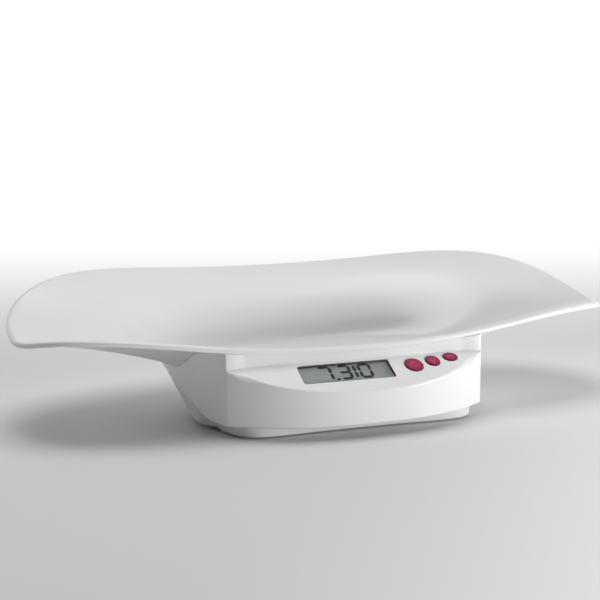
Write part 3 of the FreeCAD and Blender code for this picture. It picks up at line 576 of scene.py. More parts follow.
def inward(p3, d):
    """move a ring of points inwards in plan by d"""
    full = np.vstack([p3[:, :2], (p3[::-1, :2] * [-1, 1])[1:-1]])
    a, b = np.roll(full, 1, 0), np.roll(full, -1, 0)
    t = b - a; t /= np.linalg.norm(t, axis=1)[:, None]
    n = np.stack([-t[:, 1], t[:, 0]], -1)[:NCOL]
    n[0, 0] = 0; n[-1, 0] = 0
    out = p3.copy(); out[:, :2] += n * np.asarray(d)[..., None] if np.ndim(d) else n * d
    return out


base = ring3(zb)
# skirt line on the right, for the ledge's inner edge
_sk = catmull(SKIRT)[:-12]
_skt = np.gradient(_sk, axis=0); _skt /= np.linalg.norm(_skt, axis=1)[:, None]
SK_N = np.stack([-_skt[:, 1], _skt[:, 0]], -1)


def skirt_in(inset):
    return _sk + SK_N * inset


sk_len = np.concatenate([[0], np.cumsum(np.hypot(*np.diff(_sk, axis=0).T))])
wl = np.concatenate([[0], np.cumsum(np.hypot(*np.diff(base[:, :2], axis=0).T))])
flush = int(np.argmin(np.abs(base[:, 1] + 62) + (kind < 2) * 1e3))
# where the skirt meets the side at that height
sx = np.interp(_sk[:, 0], base[NF:flush + 30, 0], base[NF:flush + 30, 0])
kfl = int(np.argmin(np.hypot(*(_sk - base[flush, :2]).T)))
lines = skirt_in(6.0)
ledge = inward(base, 6.0)
for c in range(NCOL):
    if c <= flush:
        f = wl[c] / wl[flush]
        s = f * sk_len[kfl]
        q = np.array([np.interp(s, sk_len, lines[:, 0]), np.interp(s, sk_len, lines[:, 1])])
        w = smooth((c - (flush - 6)) / 6.0)
        ledge[c, :2] = q * (1 - w) + ledge[c, :2] * w
ledge[0, 0] = 0
led_lo = ledge.copy(); led_lo[:, 2] = sweep(ledge[:, 1]) + 0.15
rows.append(led_lo)
for d, h in ((1.0, 0.0), (0.55, 0.1), (0.2, 0.4)):
    q = inward(base, rb * d); q[:, 2] = zb + rb * h
    rows.append(q)
NW = 13
z_lo, z_hi = zb + rb, ze - tr
for i in range(NW + 1):
    rows.append(ring3(z_lo + (z_hi - z_lo) * i / NW))
P = (ring3(ze - tr), ring3(ze - tr * 0.42), E + uEF * (tr * 0.42)[:, None], E + uEF * tr[:, None])
for i in range(1, 9):
    rows.append(bez(P, i / 8))
NPN = 9
Fs = F - uEF * tf[:, None]; Es = rows[-1]
for i in range(1, NPN + 1):
    rows.append(Es + (Fs - Es) * i / NPN)
tband = np.minimum(tf, 0.35 * (zt - zf))


def band(zz):
    """row on the band at per-column heights"""
    g = np.clip((zz - zf) / np.maximum(zt - zf, 1e-6), 0, 1)
    out = np.zeros((NCOL, 3)); out[:, 2] = zz
    # the band's lean differs by column, so each column is solved with its own share
    gs = np.linspace(0, 1, 9)
    tab = np.stack([ring_plan(zz, v) for v in gs])
    for c in range(NCOL):
        out[c, 0] = np.interp(g[c], gs, tab[:, c, 0]); out[c, 1] = np.interp(g[c], gs, tab[:, c, 1])
    return out


B0 = band(zf + tband)
P = (Fs, F - uEF * (tf * 0.4)[:, None], band(zf + tband * 0.4), B0)
for i in range(1, 8):
    rows.append(bez(P, i / 7))
NB = 7
rt = np.minimum(np.where(kind == 0, 0.14, 0.5), (zt - zf) * 0.2)
for i in range(1, NB + 1):
    rows.append(band(zf + tband + (zt - rt - zf - tband) * i / NB))
top = band(zt)
outer_n = len(rows)
for d, h in ((0.25, 0.78), (1.0, 1.0)):
    q = inward(top, rt * d); q[:, 2] = zt - rt + rt * h
    rows.append(q)


def mirror_ring(r):
    return np.vstack([r, (r[::-1] * [-1, 1, 1])[1:-1]])


full = np.stack([mirror_ring(r) for r in rows])
# surface normals for the inner skin
du = np.roll(full, -1, 1) - np.roll(full, 1, 1)
dv = np.gradient(full, axis=0)
nrm = np.cross(du, dv); nrm /= np.maximum(np.linalg.norm(nrm, axis=2), 1e-9)[..., None]
cen = np.array([0, -20, 40.0])
if np.sum(nrm[6, 0] * (full[6, 0] - cen)) < 0:
    nrm = -nrm
T_WALL = 2.2
q = inward(top, 2.4); q[:, 2] = zt
full_rows = list(full) + [mirror_ring(q)]
first_wall = 4
for r in range(outer_n - 2, first_wall - 1, -1):
    v = full[r] - nrm[r] * T_WALL
    v[:, 2] = np.minimum(v[:, 2], mirror_ring(top)[:, 2] - 0.3 - 0.02 * (outer_n - r))
    v[:, 2] = np.maximum(v[:, 2], mirror_ring(base)[:, 2] + 2.0 + 0.02 * (r - first_wall))
    full_rows.append(v)
led_hi = mirror_ring(led_lo); led_hi[:, 2] += 1.9
full_rows.append(led_hi)
housing = skin("console_shell", full_rows, wrap_rows=True, angle=0)

# deck plate over the base
dk = []
for z in (46.35, 48.45):
    p = np.column_stack([side_at(np.linspace(0, TAU[-1], 150), z), np.full(150, z)])
    p = p[p[:, 1] > -88.0]
    t = np.gradient(p[:, :2], axis=0); t /= np.linalg.norm(t, axis=1)[:, None]
    p[:, :2] += np.stack([-t[:, 1], t[:, 0]], -1) * 1.2
    p = p[p[:, 1] > -90]
    p[-1, 0] = 0
    ringp = np.vstack([p, (p[::-1] * [-1, 1, 1])[1:]])
    dk.append(ringp)
nmin = min(len(a) for a in dk)
deck = skin("deck", [d[:nmin] for d in dk], np.array([0, 0, 46.35]), np.array([0, 0, 48.45]), angle=30)
boolean(housing, "UNION", [deck])

# display opening with a rounded mouth, button holes with a small chamfer
cutters = []
lv = []
for n_, g in ((-9.0, 0.0), (-1.3, 0.0), (-0.85, 0.03), (-0.5, 0.12), (-0.22, 0.3), (-0.07, 0.52), (0.3, 1.9)):
    lv.append((rrect(LCD_W + 2 * g, LCD_H + 2 * g, 1.6 + g), n_))
cutters.append(stack("lcd_cut", lv, panel_pt, LCD_U, LCD_S))
for nm, u, s, r, h in BUTTONS:
    lv = [(ellipse(r + 0.45 + g, h + 0.45 + g), n_) for n_, g in ((-10.0, 0.0), (-0.9, 0.0), (-0.5, 0.06), (-0.22, 0.2), (-0.07, 0.4), (0.3, 1.6), (0.34, 0.4), (3.0, 0.4))]
    cutters.append(stack(nm + "_cut", lv, panel_pt, u, s))
boolean(housing, "DIFFERENCE", cutters)
finish_mesh(housing, 42)
dress(housing, "housing_white", replaces=("console_housing",))

# -------------------------------------------------------------------- base tub
ZG = np.linspace(0.5, 47.5, 48)
XT, XS = [], []                    # crossing of skirt and side, as lengths along each, by height
tt_ = np.linspace(0, 110, 500)
for z in ZG:
    sd = side_at(tt_, z)
    xs = np.interp(_sk[:, 1], sd[:, 1], sd[:, 0])
    d = _sk[:, 0] - xs
    i = int(np.argmax((d > 0) & (_sk[:, 1] > -80)))
    w = d[i - 1] / (d[i - 1] - d[i])
    XS.append(sk_len[i - 1] + (sk_len[i] - sk_len[i - 1]) * w)
    yc = _sk[i - 1, 1] + (_sk[i, 1] - _sk[i - 1, 1]) * w
    XT.append(np.interp(yc, sd[:, 1], tt_))
XS, XT = np.array(XS), np.array(XT)
NS1, NS2, NS3 = 70, 6, 96
tk = 3.2
TCOL = NS1 + 1 + NS2 - 1 + NS3


def skirt_pt(s):
    return np.stack([np.interp(s, sk_len, _sk[:, 0]), np.interp(s, sk_len, _sk[:, 1])], -1)


def tub_plan(z):
    z = np.broadcast_to(np.asarray(z, float), (TCOL,))
    xs_, xt_ = np.interp(z, ZG, XS), np.interp(z, ZG, XT)
    i = np.arange(TCOL)
    f1 = np.clip(i / NS1, 0, 1)
    t = np.clip((i - NS1) / NS2, 0, 1)[:, None]
    f3 = np.clip((i - NS1 - NS2) / (NS3 - 1), 0, 1)
    A = skirt_pt(f1 * (xs_ - tk)); K = skirt_pt(xs_)
    C = side_at(xt_ + tk + f3 * (TAU[-1] - xt_ - tk), z)
    return A * (1 - t) ** 2 + K * 2 * t * (1 - t) + C * t * t


def tub3(z):
    return np.column_stack([tub_plan(z), np.broadcast_to(z, (TCOL,))])


def tub_in(p3, d):
    full = np.vstack([p3[:, :2], (p3[::-1, :2] * [-1, 1])[1:-1]])
    a, b = np.roll(full, 1, 0), np.roll(full, -1, 0)
    t = b - a; t /= np.maximum(np.linalg.norm(t, axis=1), 1e-9)[:, None]
    n = np.stack([-t[:, 1], t[:, 0]], -1)[:TCOL]
    n[0, 0] = 0; n[-1, 0] = 0
    out = p3.copy(); out[:, :2] += n * np.broadcast_to(d, (TCOL,))[:, None]
    return out


tz = np.full(TCOL, 14.0)
for _ in range(8):
    tz = sweep(tub_plan(tz)[:, 1]) - 0.15
i_ = np.arange(TCOL)
s_here = np.clip(i_ / NS1, 0, 1) * (np.interp(6.0, ZG, XS) - tk)
s_mid = float(np.interp(-80.5, _sk[:, 1], sk_len))
wr = np.where(i_ > NS1, 1.0, smooth((s_here - (s_mid - 5.0)) / 10.0))     # 0 on the front block, 1 on the sides
trows = []
# outer wall downwards
zlow = 3.0 + wr * 6.5
foot = tub3(zlow)
# outline of the flat bottom, 13 mm in, smoothed so that it doesn't fold at the corners; it gives the inward direction
ring_in = mirror_ring(tub_in(foot, 13.0))[:, :2]
w_sm = 220
for _ in range(w_sm):
    ring_in = 0.25 * np.roll(ring_in, 1, 0) + 0.5 * ring_in + 0.25 * np.roll(ring_in, -1, 0)
ring_in = ring_in[:TCOL].copy(); ring_in[0, 0] = 0; ring_in[-1, 0] = 0
B_DIR = (ring_in - foot[:, :2]) / 13.0


def shift_in(p3, d, z=None):
    out = p3.copy()
    out[:, :2] += B_DIR * np.broadcast_to(d, (TCOL,))[:, None]
    if z is not None:
        out[:, 2] = z
    return out


trows_top = shift_in(tub3(tz), 0.45)
trows.append(trows_top)
q = shift_in(tub3(tz), 0.12, tz - 0.12)
trows.append(q)
for k in range(9):
    trows.append(tub3(tz - 0.45 + (zlow - tz + 0.45) * k / 8))
wall_n = len(trows)


def prof(pts_f, pts_s, store):
    """rows between a front profile and a side profile, each (inset, height)"""
    for (a, za), (b, zb_) in zip(pts_f, pts_s):
        d = a * (1 - wr) + b * wr; z = za * (1 - wr) + zb_ * wr
        store.append(shift_in(foot, d, z))


def arcq(R1, z0, n=6):
    return [(R1 * (1 - math.cos(a)), z0 + R1 * (1 - math.sin(a))) for a in np.linspace(0, math.pi / 2, n + 1)[1:]]


fpts = arcq(1.5, 1.5) + [(2.2, 1.5), (3.2, 1.5), (4.6, 1.5), (6.4, 1.5), (8.4, 1.5), (10.6, 1.5), (13, 1.5)]
s1 = [bez(tuple(np.array(v, float) for v in ((0, 9.5), (0, 6.6), (1.6, 4.7), (4.6, 4.0))), t) for t in np.linspace(0, 1, 8)[1:]]
s2 = [bez(tuple(np.array(v, float) for v in ((4.6, 4.0), (7.6, 3.3), (9.5, 1.5), (13, 1.5))), t) for t in np.linspace(0, 1, 7)[1:]]
spts = [tuple(v) for v in s1 + s2]
prof(fpts, spts, trows)
fin = [(2.2, 5.2), (2.2, 4.8), (2.25, 4.4), (2.35, 4.1), (2.55, 3.85), (2.85, 3.72), (3.3, 3.7), (4.3, 3.7), (5.7, 3.7), (7.5, 3.7), (9.5, 3.7), (11.7, 3.7), (13.8, 3.7)]
i1 = [bez(tuple(np.array(v, float) for v in ((2.2, 9.8), (2.2, 8.2), (3.4, 6.9), (5.4, 6.2))), t) for t in np.linspace(0, 1, 8)[1:]]
i2 = [bez(tuple(np.array(v, float) for v in ((5.4, 6.2), (8.2, 5.4), (10.4, 3.7), (13.8, 3.7))), t) for t in np.linspace(0, 1, 7)[1:]]
inner_rows = []
for k in range(8):
    z_ = tz - 0.45 + (zlow + 2.3 - tz + 0.45) * k / 7
    inner_rows.append(shift_in(tub3(z_), 2.2))
prof(fin, [tuple(v) for v in i1 + i2], inner_rows)
ctr = np.array([0.0, -20.0])
for lst, z_ in ((trows, Z_BOT), (inner_rows, 3.7)):
    last = lst[-1]
    for f in (0.86, 0.7, 0.5, 0.25):
        qq = last.copy(); qq[:, :2] = ctr + (last[:, :2] - ctr) * f; qq[:, 2] = z_
        lst.append(qq)
q = shift_in(tub3(tz), 2.2)
rows_all = [mirror_ring(r) for r in trows[::-1]] + [mirror_ring(q)] + [mirror_ring(r) for r in inner_rows]
tub = skin("tub_shell", rows_all, np.array([0, -20.0, Z_BOT]), np.array([0, -20.0, 3.7]), angle=0)


def block(x0, x1, y0, y1, z0, z1, r=0.6):
    w, h = x1 - x0, y1 - y0
    return stack("blk", [(rrect(w, h, r), z0), (rrect(w, h, r), z1)], plain, (x0 + x1) / 2, (y0 + y1) / 2)


def ring_cut(levels, x, y, n=72):
    return stack("rc", [(circle(r, n), z) for z, r in levels], plain, x, y)


by0, by1 = BAY_Y - 23.2, BAY_Y + 23.2
adds = [block(-36, 36, -51, 11, 1.9, 6.5), block(-29.1, 29.1, by0 - 1.6, by1 + 1.6, 6.0, 18.0)]
for nm, x, y in FEET:
    adds.append(ring_cut([(1.52, 18.6), (1.7, 18.9), (2.0, 19.0), (9.5, 19.0)], x, y))
for x, y in HOUSING_BOSSES:
    adds.append(ring_cut([(2.2, 4.6), (13.85, 4.6)], x, y))
boolean(tub, "UNION", adds)
cuts = [block(-27.5, 27.5, by0, by1, 1.0, 16.4, 0.8)]
fl = [(6.4 - 1.5, 0.0), (2.1, 0.0), (1.8, 0.12), (1.55, 0.4), (1.2, 1.1)]
cuts.append(stack("dr", [(rrect(61.9 + 2 * g, 52.9 + 2 * g, 2.0 + g), z) for z, g in fl][::-1], plain, 0, -20.0))
cuts.append(block(-31.0, 31.0, 3.0, 6.9, 1.2, 5.7, 0.5))
cuts.append(stack("fr", [(rrect(18, 8, 2.2), 1.2), (rrect(17, 7, 2.0), 1.5), (rrect(16, 6, 1.8), 2.0), (rrect(15.4, 5.4, 1.5), 3.2)], plain, 0, -48.5))
for nm, x, y in FEET:
    cuts.append(ring_cut([(1.1, 17.3), (1.5, 16.85), (1.7, 16.5), (2.1, 16.3), (4.0, 16.3), (4.05, 16.9), (10.6, 16.9)], x, y, 77))
for x, y in HOUSING_BOSSES:
    cuts.append(ring_cut([(1.1, 3.9), (1.5, 3.55), (1.7, 3.3), (2.1, 3.2), (8.0, 3.2), (8.05, 1.7), (14.4, 1.7)], x, y, 49))
boolean(tub, "DIFFERENCE", cuts)
finish_mesh(tub, 38)
dress(tub, "tub_white", replaces=("base_tub",))

# --------------------------------------------------------------------- display
# painted shade: a black liner over the walls of the opening darkens them; also the seal under the window
n1, n2 = PANE_N - PANE_T, PANE_N - PANE_T - SEAL_T
n3 = n2 - LCD_T
ln = [(rrect(LCD_W - 0.06, LCD_H - 0.06, 1.57), PANE_N + 0.02), (rrect(LCD_W - 0.06, LCD_H - 0.06, 1.57), -0.42), (rrect(LCD_W - 0.2, LCD_H - 0.2, 1.5), -0.33),
      (rrect(LCD_W - 0.6, LCD_H - 0.6, 1.3), -0.33), (rrect(LCD_W - 0.8, LCD_H - 0.8, 1.2), -0.45), (rrect(LCD_W - 0.85, LCD_H - 0.85, 1.18), PANE_N + 0.02)]
painted_shade_liner = stack("painted_shade_liner", ln, panel_pt, LCD_U, LCD_S, pole=False, wrap=True)
gk = [(rrect(95.6, 28.6, 1.0), n2), (rrect(95.6, 28.6, 1.0), n1 - 0.02), (rrect(91.5, 24.6, 1.0), n1 - 0.02), (rrect(91.5, 24.6, 1.0), n2)]
gask = stack("gask", gk, panel_pt, LCD_U, LCD_S, pole=False, wrap=True)
# the real seal and the painted shade liner together in one object
seal_and_shade_liner = join("display_seal_and_painted_shade", [painted_shade_liner, gask])
dress(seal_and_shade_liner, "gasket_foam", replaces=("display_gasket",))
win = stack("display_pane", [(rrect(97.6, 30.2, 1.3), n1), (rrect(98, 30.6, 1.5), n1 + 0.2), (rrect(98, 30.6, 1.5), PANE_N - 0.2), (rrect(97.6, 30.2, 1.3), PANE_N)], panel_pt, LCD_U, LCD_S)
dress(win, "window_clear", replaces=("display_window",))
lcd = stack("lcd_glass", [(rrect(95.6, 28.6, 0.5), n3), (rrect(96, 29, 0.6), n3 + 0.2), (rrect(96, 29, 0.6), n2 - 0.2), (rrect(95.6, 28.6, 0.5), n2 - 0.06)], panel_pt, LCD_U, LCD_S)
dress(lcd, "lcd_face", replaces=("lcd_panel",))


def bar(poly, lean=0.0):
    """thin printed segment from a closed polygon in display coordinates (from the lower left corner of the opening)"""
    p = np.array(poly, float)
    x = LCD_U - LCD_W / 2 + p[:, 0] + lean * p[:, 1]; y = LCD_S - LCD_H / 2 + p[:, 1]
    lo, hi = panel_pt(x, y, n2 - 0.07), panel_pt(x, y, n2 - 0.02)
    return skin("seg", [lo, hi], panel_pt(x.mean(), y.mean(), n2 - 0.07), panel_pt(x.mean(), y.mean(), n2 - 0.02), angle=30)


def seg_h(x0, x1, y, t):
    """horizontal segment with pointed ends"""
    h = t / 2
    return [(x0, y), (x0 + h, y - h), (x1 - h, y - h), (x1, y), (x1 - h, y + h), (x0 + h, y + h)]


def seg_v(x, y0, y1, t):
    h = t / 2
    return [(x, y0), (x + h, y0 + h), (x + h, y1 - h), (x, y1), (x - h, y1 - h), (x - h, y0 + h)]


def digit(ch, x0, w, y0=3.9, h=20.9, t=3.15, g=0.06):
    on = {"0": "abcdef", "1": "bc", "2": "abged", "3": "abgcd", "7": "abc"}[ch]
    a = t / 2
    xl, xr, yb, ym, yt = x0 + a, x0 + w - a, y0 + a, y0 + h / 2, y0 + h - a
    if ch == "1":
        xr = x0 + a
    polys = {
        "a": seg_h(xl + g, xr - g, yt, t), "g": seg_h(xl + g, xr - g, ym, t), "d": seg_h(xl + g, xr - g, yb, t),
        "f": seg_v(xl, ym + g, yt - g, t), "e": seg_v(xl, yb + g, ym - g, t),
        "b": seg_v(xr, ym + g, yt - g, t), "c": seg_v(xr, yb + g, ym - g, t)}
    return [bar(polys[k]) for k in on]


segs = digit("7", 18.8, 14.2) + digit("3", 38.7, 13.4) + digit("1", 54.6, 4) + digit("0", 59.4, 13.7)
segs.append(bar([(34.9, 3.9), (37.7, 3.9), (37.7, 6.7), (34.9, 6.7)]))
ink = join("lcd_digits", segs, 30)
dress(ink, "lcd_ink")

# --------------------------------------------------------------------- buttons
for nm, u, s, r, h in BUTTONS:
    prof_ = [(1.45, -6.2), (1.6, -6.0), (1.6, -4.1), (r + 1.15, -4.1), (r + 1.3, -3.95), (r + 1.3, -3.05), (r + 1.15, -2.9), (r, -2.9),
             (r, 0.45), (r - 0.05, 0.72), (r - 0.2, 0.95), (r - 0.45, 1.08), (r - 0.8, 1.1), (r - 1.05, 1.04), (r - 1.3, 0.98),
             (r * 0.72, 1.06), (r * 0.5, 1.15), (r * 0.25, 1.21), (r * 0.08, 1.225)]
    lv = []
    for a, z in prof_:
        if z < -4.05 and a < 2:
            b = a                                   # round stem
        elif a >= r - 1.31:
            b = a - (r - h)                         # side and edge keep their widths all round
        else:
            b = a * (h - 1.3) / (r - 1.3)
        lv.append((ellipse(max(a, 0.05), max(b, 0.05), 80), z))
    cap = stack(nm + "_cap", lv, panel_pt, u, s, angle=50)
    dress(cap, "button_raspberry", body=nm + "_key", replaces=(nm + "_button",))
    cap.data.materials.append(M["button_painted_shade_edge"])         # painted shade: the side and edge get a darker red, rows 7 to 12 of the profile
    for p in cap.data.polygons:
        if 7 * 80 <= p.index < 13 * 80:
            p.material_index = 1


def cap_h(r, d):
    """height of a cap's face at distance d from its middle"""
    return np.interp(d, [0, r * 0.25, r * 0.5, r * 0.72, r - 1.3], [1.225, 1.21, 1.15, 1.06, 0.98])


def raised(nm, outline_pairs):
    """thin raised mark on a cap: strips between an inner and an outer line, 0.06 mm high"""
    u, s, r, h = [b[1:] for b in BUTTONS if b[0] == nm][0]
    ky = (r - 1.3) / (h - 1.3)
    obs = []
    for inner, outer, closed in outline_pairs:
        a, b = np.array(inner, float), np.array(outer, float)
        n = len(a)
        vs = []
        for pts, dz in ((a, -0.05), (b, -0.05), (b, 0.05), (a, 0.05)):
            d = np.hypot(pts[:, 0], pts[:, 1] * ky)
            vs.append(panel_pt(u + pts[:, 0], s + pts[:, 1], cap_h(r, d) + dz))
        verts = np.concatenate(vs)
        f = []
        m = n if closed else n - 1
        for k in range(4):
            for i in range(m):
                j = (i + 1) % n
                f.append((k * n + i, k * n + j, ((k + 1) % 4) * n + j, ((k + 1) % 4) * n + i))
        if not closed:
            f.append((0, n, 2 * n, 3 * n)); f.append((n - 1, 2 * n - 1, 3 * n - 1, 4 * n - 1))
        obs.append(link("m", verts, f, 30))
    ob = join(nm + "_mark", obs, 30)
    dress(ob, "button_mark", body=nm + "_key")


def arc_pair(r0, r1, a0, a1, n=40, cx=0, cy=0, ky=1.0):
    a = np.radians(np.linspace(a0, a1, n))
    return ([(cx + r0 * math.cos(t), cy + r0 * ky * math.sin(t)) for t in a], [(cx + r1 * math.cos(t), cy + r1 * ky * math.sin(t)) for t in a], False)


def bar_pair(x0, x1, y, h):
    xs = np.linspace(x0, x1, 6)
    return ([(x, y - h / 2) for x in xs], [(x, y + h / 2) for x in xs], False)


def stem_pair(x, y0, y1, w):
    ys = np.linspace(y0, y1, 6)
    return ([(x - w / 2, y) for y in ys], [(x + w / 2, y) for y in ys], False)


raised("power", [arc_pair(2.8, 3.4, 120, 420), stem_pair(0, 0.9, 4.0, 0.6)])
zero = (np.array([(1.7 * math.cos(t), 2.5 * math.sin(t)) for t in np.linspace(0, 2 * math.pi, 41)[:-1]]),
        np.array([(2.3 * math.cos(t), 3.15 * math.sin(t)) for t in np.linspace(0, 2 * math.pi, 41)[:-1]]), True)
raised("tare", [zero])
raised("unit", [bar_pair(-3.2, 3.2, 0.9, 0.55), bar_pair(-3.2, 3.2, -0.9, 0.55)])

# ---------------------------------------------------------------- battery door
lv = [(rrect(60.4, 50.8, 1.6), 2.6), (rrect(60.9, 51.3, 1.8), 2.7), (rrect(61.2, 51.6, 2.0), 3.0), (rrect(61.2, 51.6, 2.0), 4.6)]
door = stack("door_plate", lv, plain, 0, -20.3)
dcut = [stack("n", [(rrect(14.6, 3.6, 1.5), 2.2), (rrect(14.4, 3.4, 1.4), 2.6), (rrect(13.4, 2.6, 1.0), 3.5)], plain, 0, -43.0)]
for x in (-7.5, 7.5):
    dcut.append(block(x - 0.5, x + 0.5, -47.2, -37.1, 2.0, 5.0, 0.4))
boolean(door, "DIFFERENCE", dcut)
ribs = [block(x - 0.6, x + 0.6, -40, -2, 4.4, 4.95, 0.3) for x in (-18, 0, 18)]
for k in range(5):          # grip bars beside the latch
    y = -39.2 + 1.7 * k
    ribs.append(stack("g", [(rrect(11 - k * 1.4, 0.7, 0.3), 2.45), (rrect(11.4 - k * 1.4, 1.1, 0.5), 2.75)], plain, 0, y))
for sx_ in (-1, 1):
    a = np.arange(24) * 2 * math.pi / 24
    rws = [np.stack([np.full(24, sx_ * (30.3 + d)), 4.9 + rr_ * np.cos(a), 3.9 + rr_ * np.sin(a)], -1) for d, rr_ in ((0, 1.0), (2.9, 1.0), (3.2, 0.75))]
    ribs.append(skin("p", rws, rws[0].mean(0), rws[-1].mean(0)))
boolean(door, "UNION", ribs)
finish_mesh(door, 38)
dress(door, "tub_white", body="door", replaces=("battery_door",))

# ------------------------------------------------------------------------ feet
for nm, x, y in FEET:
    pr = [(12.6, 0.0), (13.2, 0.12), (13.5, 0.5), (13.5, 1.6)]
    ringlv = [(0.05, 0.45), (2.0, 0.45), (2.3, 0.0), (5.0, 0.0), (5.3, 0.45), (6.3, 0.45), (6.6, 0.0), (9.0, 0.0), (9.3, 0.45), (10.3, 0.45), (10.6, 0.0)]
    pad = stack(nm + "_pad", [(circle(a, 72), z) for a, z in ringlv + pr], plain, x, y, angle=40)
    dress(pad, "pad_rubber", replaces=(nm + "_foot_pad",))
    cp = [(13.4, 1.6), (15.0, 1.6), (15.4, 1.75), (15.5, 2.1), (15.5, 6.1), (15.3, 6.35), (15.0, 6.4), (13.9, 6.4), (13.7, 6.3), (13.7, 3.6), (5.0, 3.6), (5.0, 9.3), (4.8, 9.5)]
    cup = stack(nm + "_cup", [(circle(a, 72), z) for a, z in cp], plain, x, y, angle=40)
    dress(cup, "cup_plastic", replaces=(nm + "_foot_cup",))

# ---------------------------------------------------------------------- screws
hs = []
for x, y in HOUSING_BOSSES:
    sc = stack("s", [(circle(a, 40), z) for a, z in ((2.3, 6.2), (2.75, 6.35), (2.9, 6.7), (2.9, 8.0), (1.4, 8.01), (1.4, 26.7), (1.0, 27.0))], plain, x, y)
    c = [stack("x", [(rrect(2.9, 0.62, 0.1), 5.9), (rrect(2.2, 0.5, 0.1), 7.4)], plain, x, y), stack("x", [(rrect(0.62, 2.9, 0.1), 5.9), (rrect(0.5, 2.2, 0.1), 7.4)], plain, x, y)]
    boolean(sc, "DIFFERENCE", c)
    hs.append(sc)
scr = join("case_screws", hs, 35)
dress(scr, "screw_steel", replaces=("housing_screws",))

# ------------------------------------------- CAD nodes that stay, with finishes
MATS = {"lcd_holder": "holder_plastic", "lcd_connector": "connector_rubber", "main_board": "circuit_board", "board_components": "component_body",
        "switch_bodies": "component_body", "board_screws": "screw_steel", "batteries": "battery_sleeve", "battery_springs": "contact_steel",
        "battery_contacts": "contact_steel", "load_cell_screws": "screw_steel", "tray_screws": "screw_steel", "tray_washers": "screw_steel",
        "load_cell_leads": "lead_insulation", "battery_lead": "lead_insulation", "power_switch_plunger": "plunger_plastic",
        "tare_switch_plunger": "plunger_plastic", "unit_switch_plunger": "plunger_plastic"}
for nm, _, _ in FEET:
    MATS[nm + "_load_cell"] = "cell_steel"
for nm, mat in MATS.items():
    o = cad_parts[nm]
    if not o.material_slots:
        o.data.materials.append(M[mat])
    for sl in o.material_slots:
        sl.material = M[mat]

# ----------------------------------------------------------------------- stage
bpy.ops.mesh.primitive_plane_add(size=80, location=(0, 0, -0.0001))
floor = bpy.context.object
floor.name = "floor"
fm = bpy.data.materials.new("floor_pale_painted_glow"); fm.use_nodes = True
fb = fm.node_tree.nodes["Principled BSDF"]
fb.inputs["Base Color"].default_value = (0.80, 0.80, 0.80, 1); fb.inputs["Roughness"].default_value = 0.85
fb.inputs["Specular IOR Level"].default_value = 0.1
# the floor stays plain round the object and on its left; further back it has a painted glow, so that it runs into the
# studio wall, and towards the front right a painted pool of light, as under a white reflector; the glow also lights the
# object
fn, fl_ = fm.node_tree.nodes, fm.node_tree.links
ftc = fn.new("ShaderNodeTexCoord"); flen = fn.new("ShaderNodeVectorMath"); flen.operation = "DOT_PRODUCT"
flen.inputs[1].default_value = (0.36, 0.93, 0.0)
flen2 = fn.new("ShaderNodeVectorMath"); flen2.operation = "DOT_PRODUCT"
flen2.inputs[1].default_value = (1.15, -1.05, 0.0)
fl_.new(ftc.outputs["Object"], flen2.inputs[0])
fmax = fn.new("ShaderNodeMath"); fmax.operation = "MAXIMUM"
fl_.new(flen.outputs["Value"], fmax.inputs[0]); fl_.new(flen2.outputs["Value"], fmax.inputs[1])
fl_.new(ftc.outputs["Object"], flen.inputs[0])
fr_ = fn.new("ShaderNodeMapRange"); fr_.interpolation_type = "SMOOTHSTEP"
fr_.inputs["From Min"].default_value, fr_.inputs["From Max"].default_value = 0.12, 1.2
fr_.inputs["To Min"].default_value, fr_.inputs["To Max"].default_value = 0.0, 1.0
fl_.new(fmax.outputs["Value"], fr_.inputs["Value"])
fe = fn.new("ShaderNodeEmission"); fe.inputs["Color"].default_value = (1, 1, 1, 1); fe.inputs["Strength"].default_value = 1.0
fmix = fn.new("ShaderNodeMixShader")
fl_.new(fr_.outputs["Result"], fmix.inputs[0]); fl_.new(fb.outputs["BSDF"], fmix.inputs[1]); fl_.new(fe.outputs["Emission"], fmix.inputs[2])
fl_.new(fmix.outputs["Shader"], fn["Material Output"].inputs["Surface"])
floor.data.materials.append(fm)

world = SC.world or bpy.data.worlds.new("world")
SC.world = world
world.use_nodes = True
wt = world.node_tree; WN = wt.nodes; WL = wt.links
bg = WN["Background"]
tcw = WN.new("ShaderNodeTexCoord"); sep = WN.new("ShaderNodeSeparateXYZ")
WL.new(tcw.outputs["Generated"], sep.inputs["Vector"])


def wmath(op, a, b):
    n = WN.new("ShaderNodeMath"); n.operation = op
    for k, v in enumerate((a, b)):
        if isinstance(v, (int, float)):
            n.inputs[k].default_value = v
        else:
            WL.new(v, n.inputs[k])
    return n.outputs["Value"]


def wramp(v, lo, hi, a, b):
    n = WN.new("ShaderNodeMapRange"); n.interpolation_type = "SMOOTHSTEP"
    n.inputs["From Min"].default_value, n.inputs["From Max"].default_value = lo, hi
    n.inputs["To Min"].default_value, n.inputs["To Max"].default_value = a, b
    WL.new(v, n.inputs["Value"])
    return n.outputs["Result"]


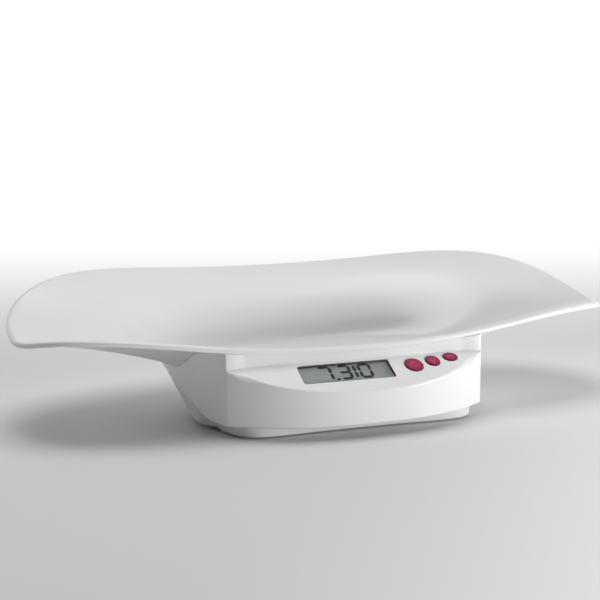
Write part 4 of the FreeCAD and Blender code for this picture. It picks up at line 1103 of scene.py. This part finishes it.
# a pale studio: bright wall behind the object, softer above, weaker in front and on the left
back = wramp(sep.outputs["Y"], -0.2, 0.85, 0.0, 1.0)
low = wramp(sep.outputs["Z"], 0.15, 0.75, 1.0, 0.35)
rightside = wramp(sep.outputs["X"], -0.6, 0.9, 0.0, 1.0)
level = wmath("ADD", wmath("MULTIPLY", wmath("MULTIPLY", back, low), 0.88), wmath("ADD", wmath("MULTIPLY", rightside, 0.18), 0.04))
horizon = wmath("MULTIPLY", wramp(sep.outputs["Z"], 0.015, 0.16, 1.0, 0.0), wramp(sep.outputs["Y"], -0.3, 0.35, 0.12, 1.0))
WL.new(wmath("MAXIMUM", level, horizon), bg.inputs["Strength"])
bg.inputs["Color"].default_value = (1.0, 1.0, 1.0, 1)
SC.view_settings.view_transform = "Standard"


def area(name, loc, target, size, power, size_y=None, color=(1, 1, 1)):
    d = bpy.data.lights.new(name, "AREA")
    d.shape = "RECTANGLE"; d.size = size; d.size_y = size_y or size; d.energy = power; d.color = color
    o = bpy.data.objects.new(name, d)
    SC.collection.objects.link(o)
    o.location = loc
    o.rotation_euler = (Vector(target) - Vector(loc)).to_track_quat("-Z", "Y").to_euler()
    return o


area("key", (1.04, -0.98, 0.15), (0.05, -0.08, 0.03), 0.6, 13.0, size_y=0.25)
area("top", (-0.1, 0.25, 1.9), (0, 0, 0.05), 1.3, 18.5)

# ---------------------------------------------------------------------- camera
th, el = R(21.0), R(9.9)
fwd = Vector((math.sin(th) * math.cos(el), math.cos(th) * math.cos(el), -math.sin(el)))
right = Vector((math.cos(th), -math.sin(th), 0))
upv = Vector((math.sin(th) * math.sin(el), math.cos(th) * math.sin(el), math.cos(el)))
cam_d = bpy.data.cameras.new("camera")
cam_d.lens, cam_d.sensor_width = 90.0, 36.0
cam_d.clip_start, cam_d.clip_end = 0.05, 50
cam = bpy.data.objects.new("camera", cam_d)
SC.collection.objects.link(cam)
cam.location = (-1531.4 * fwd - 16.2 * right + 102.35 * upv) * 0.001 + Vector((0, 0, 0.0015))
cam.rotation_euler = fwd.to_track_quat("-Z", "Y").to_euler()
SC.camera = cam
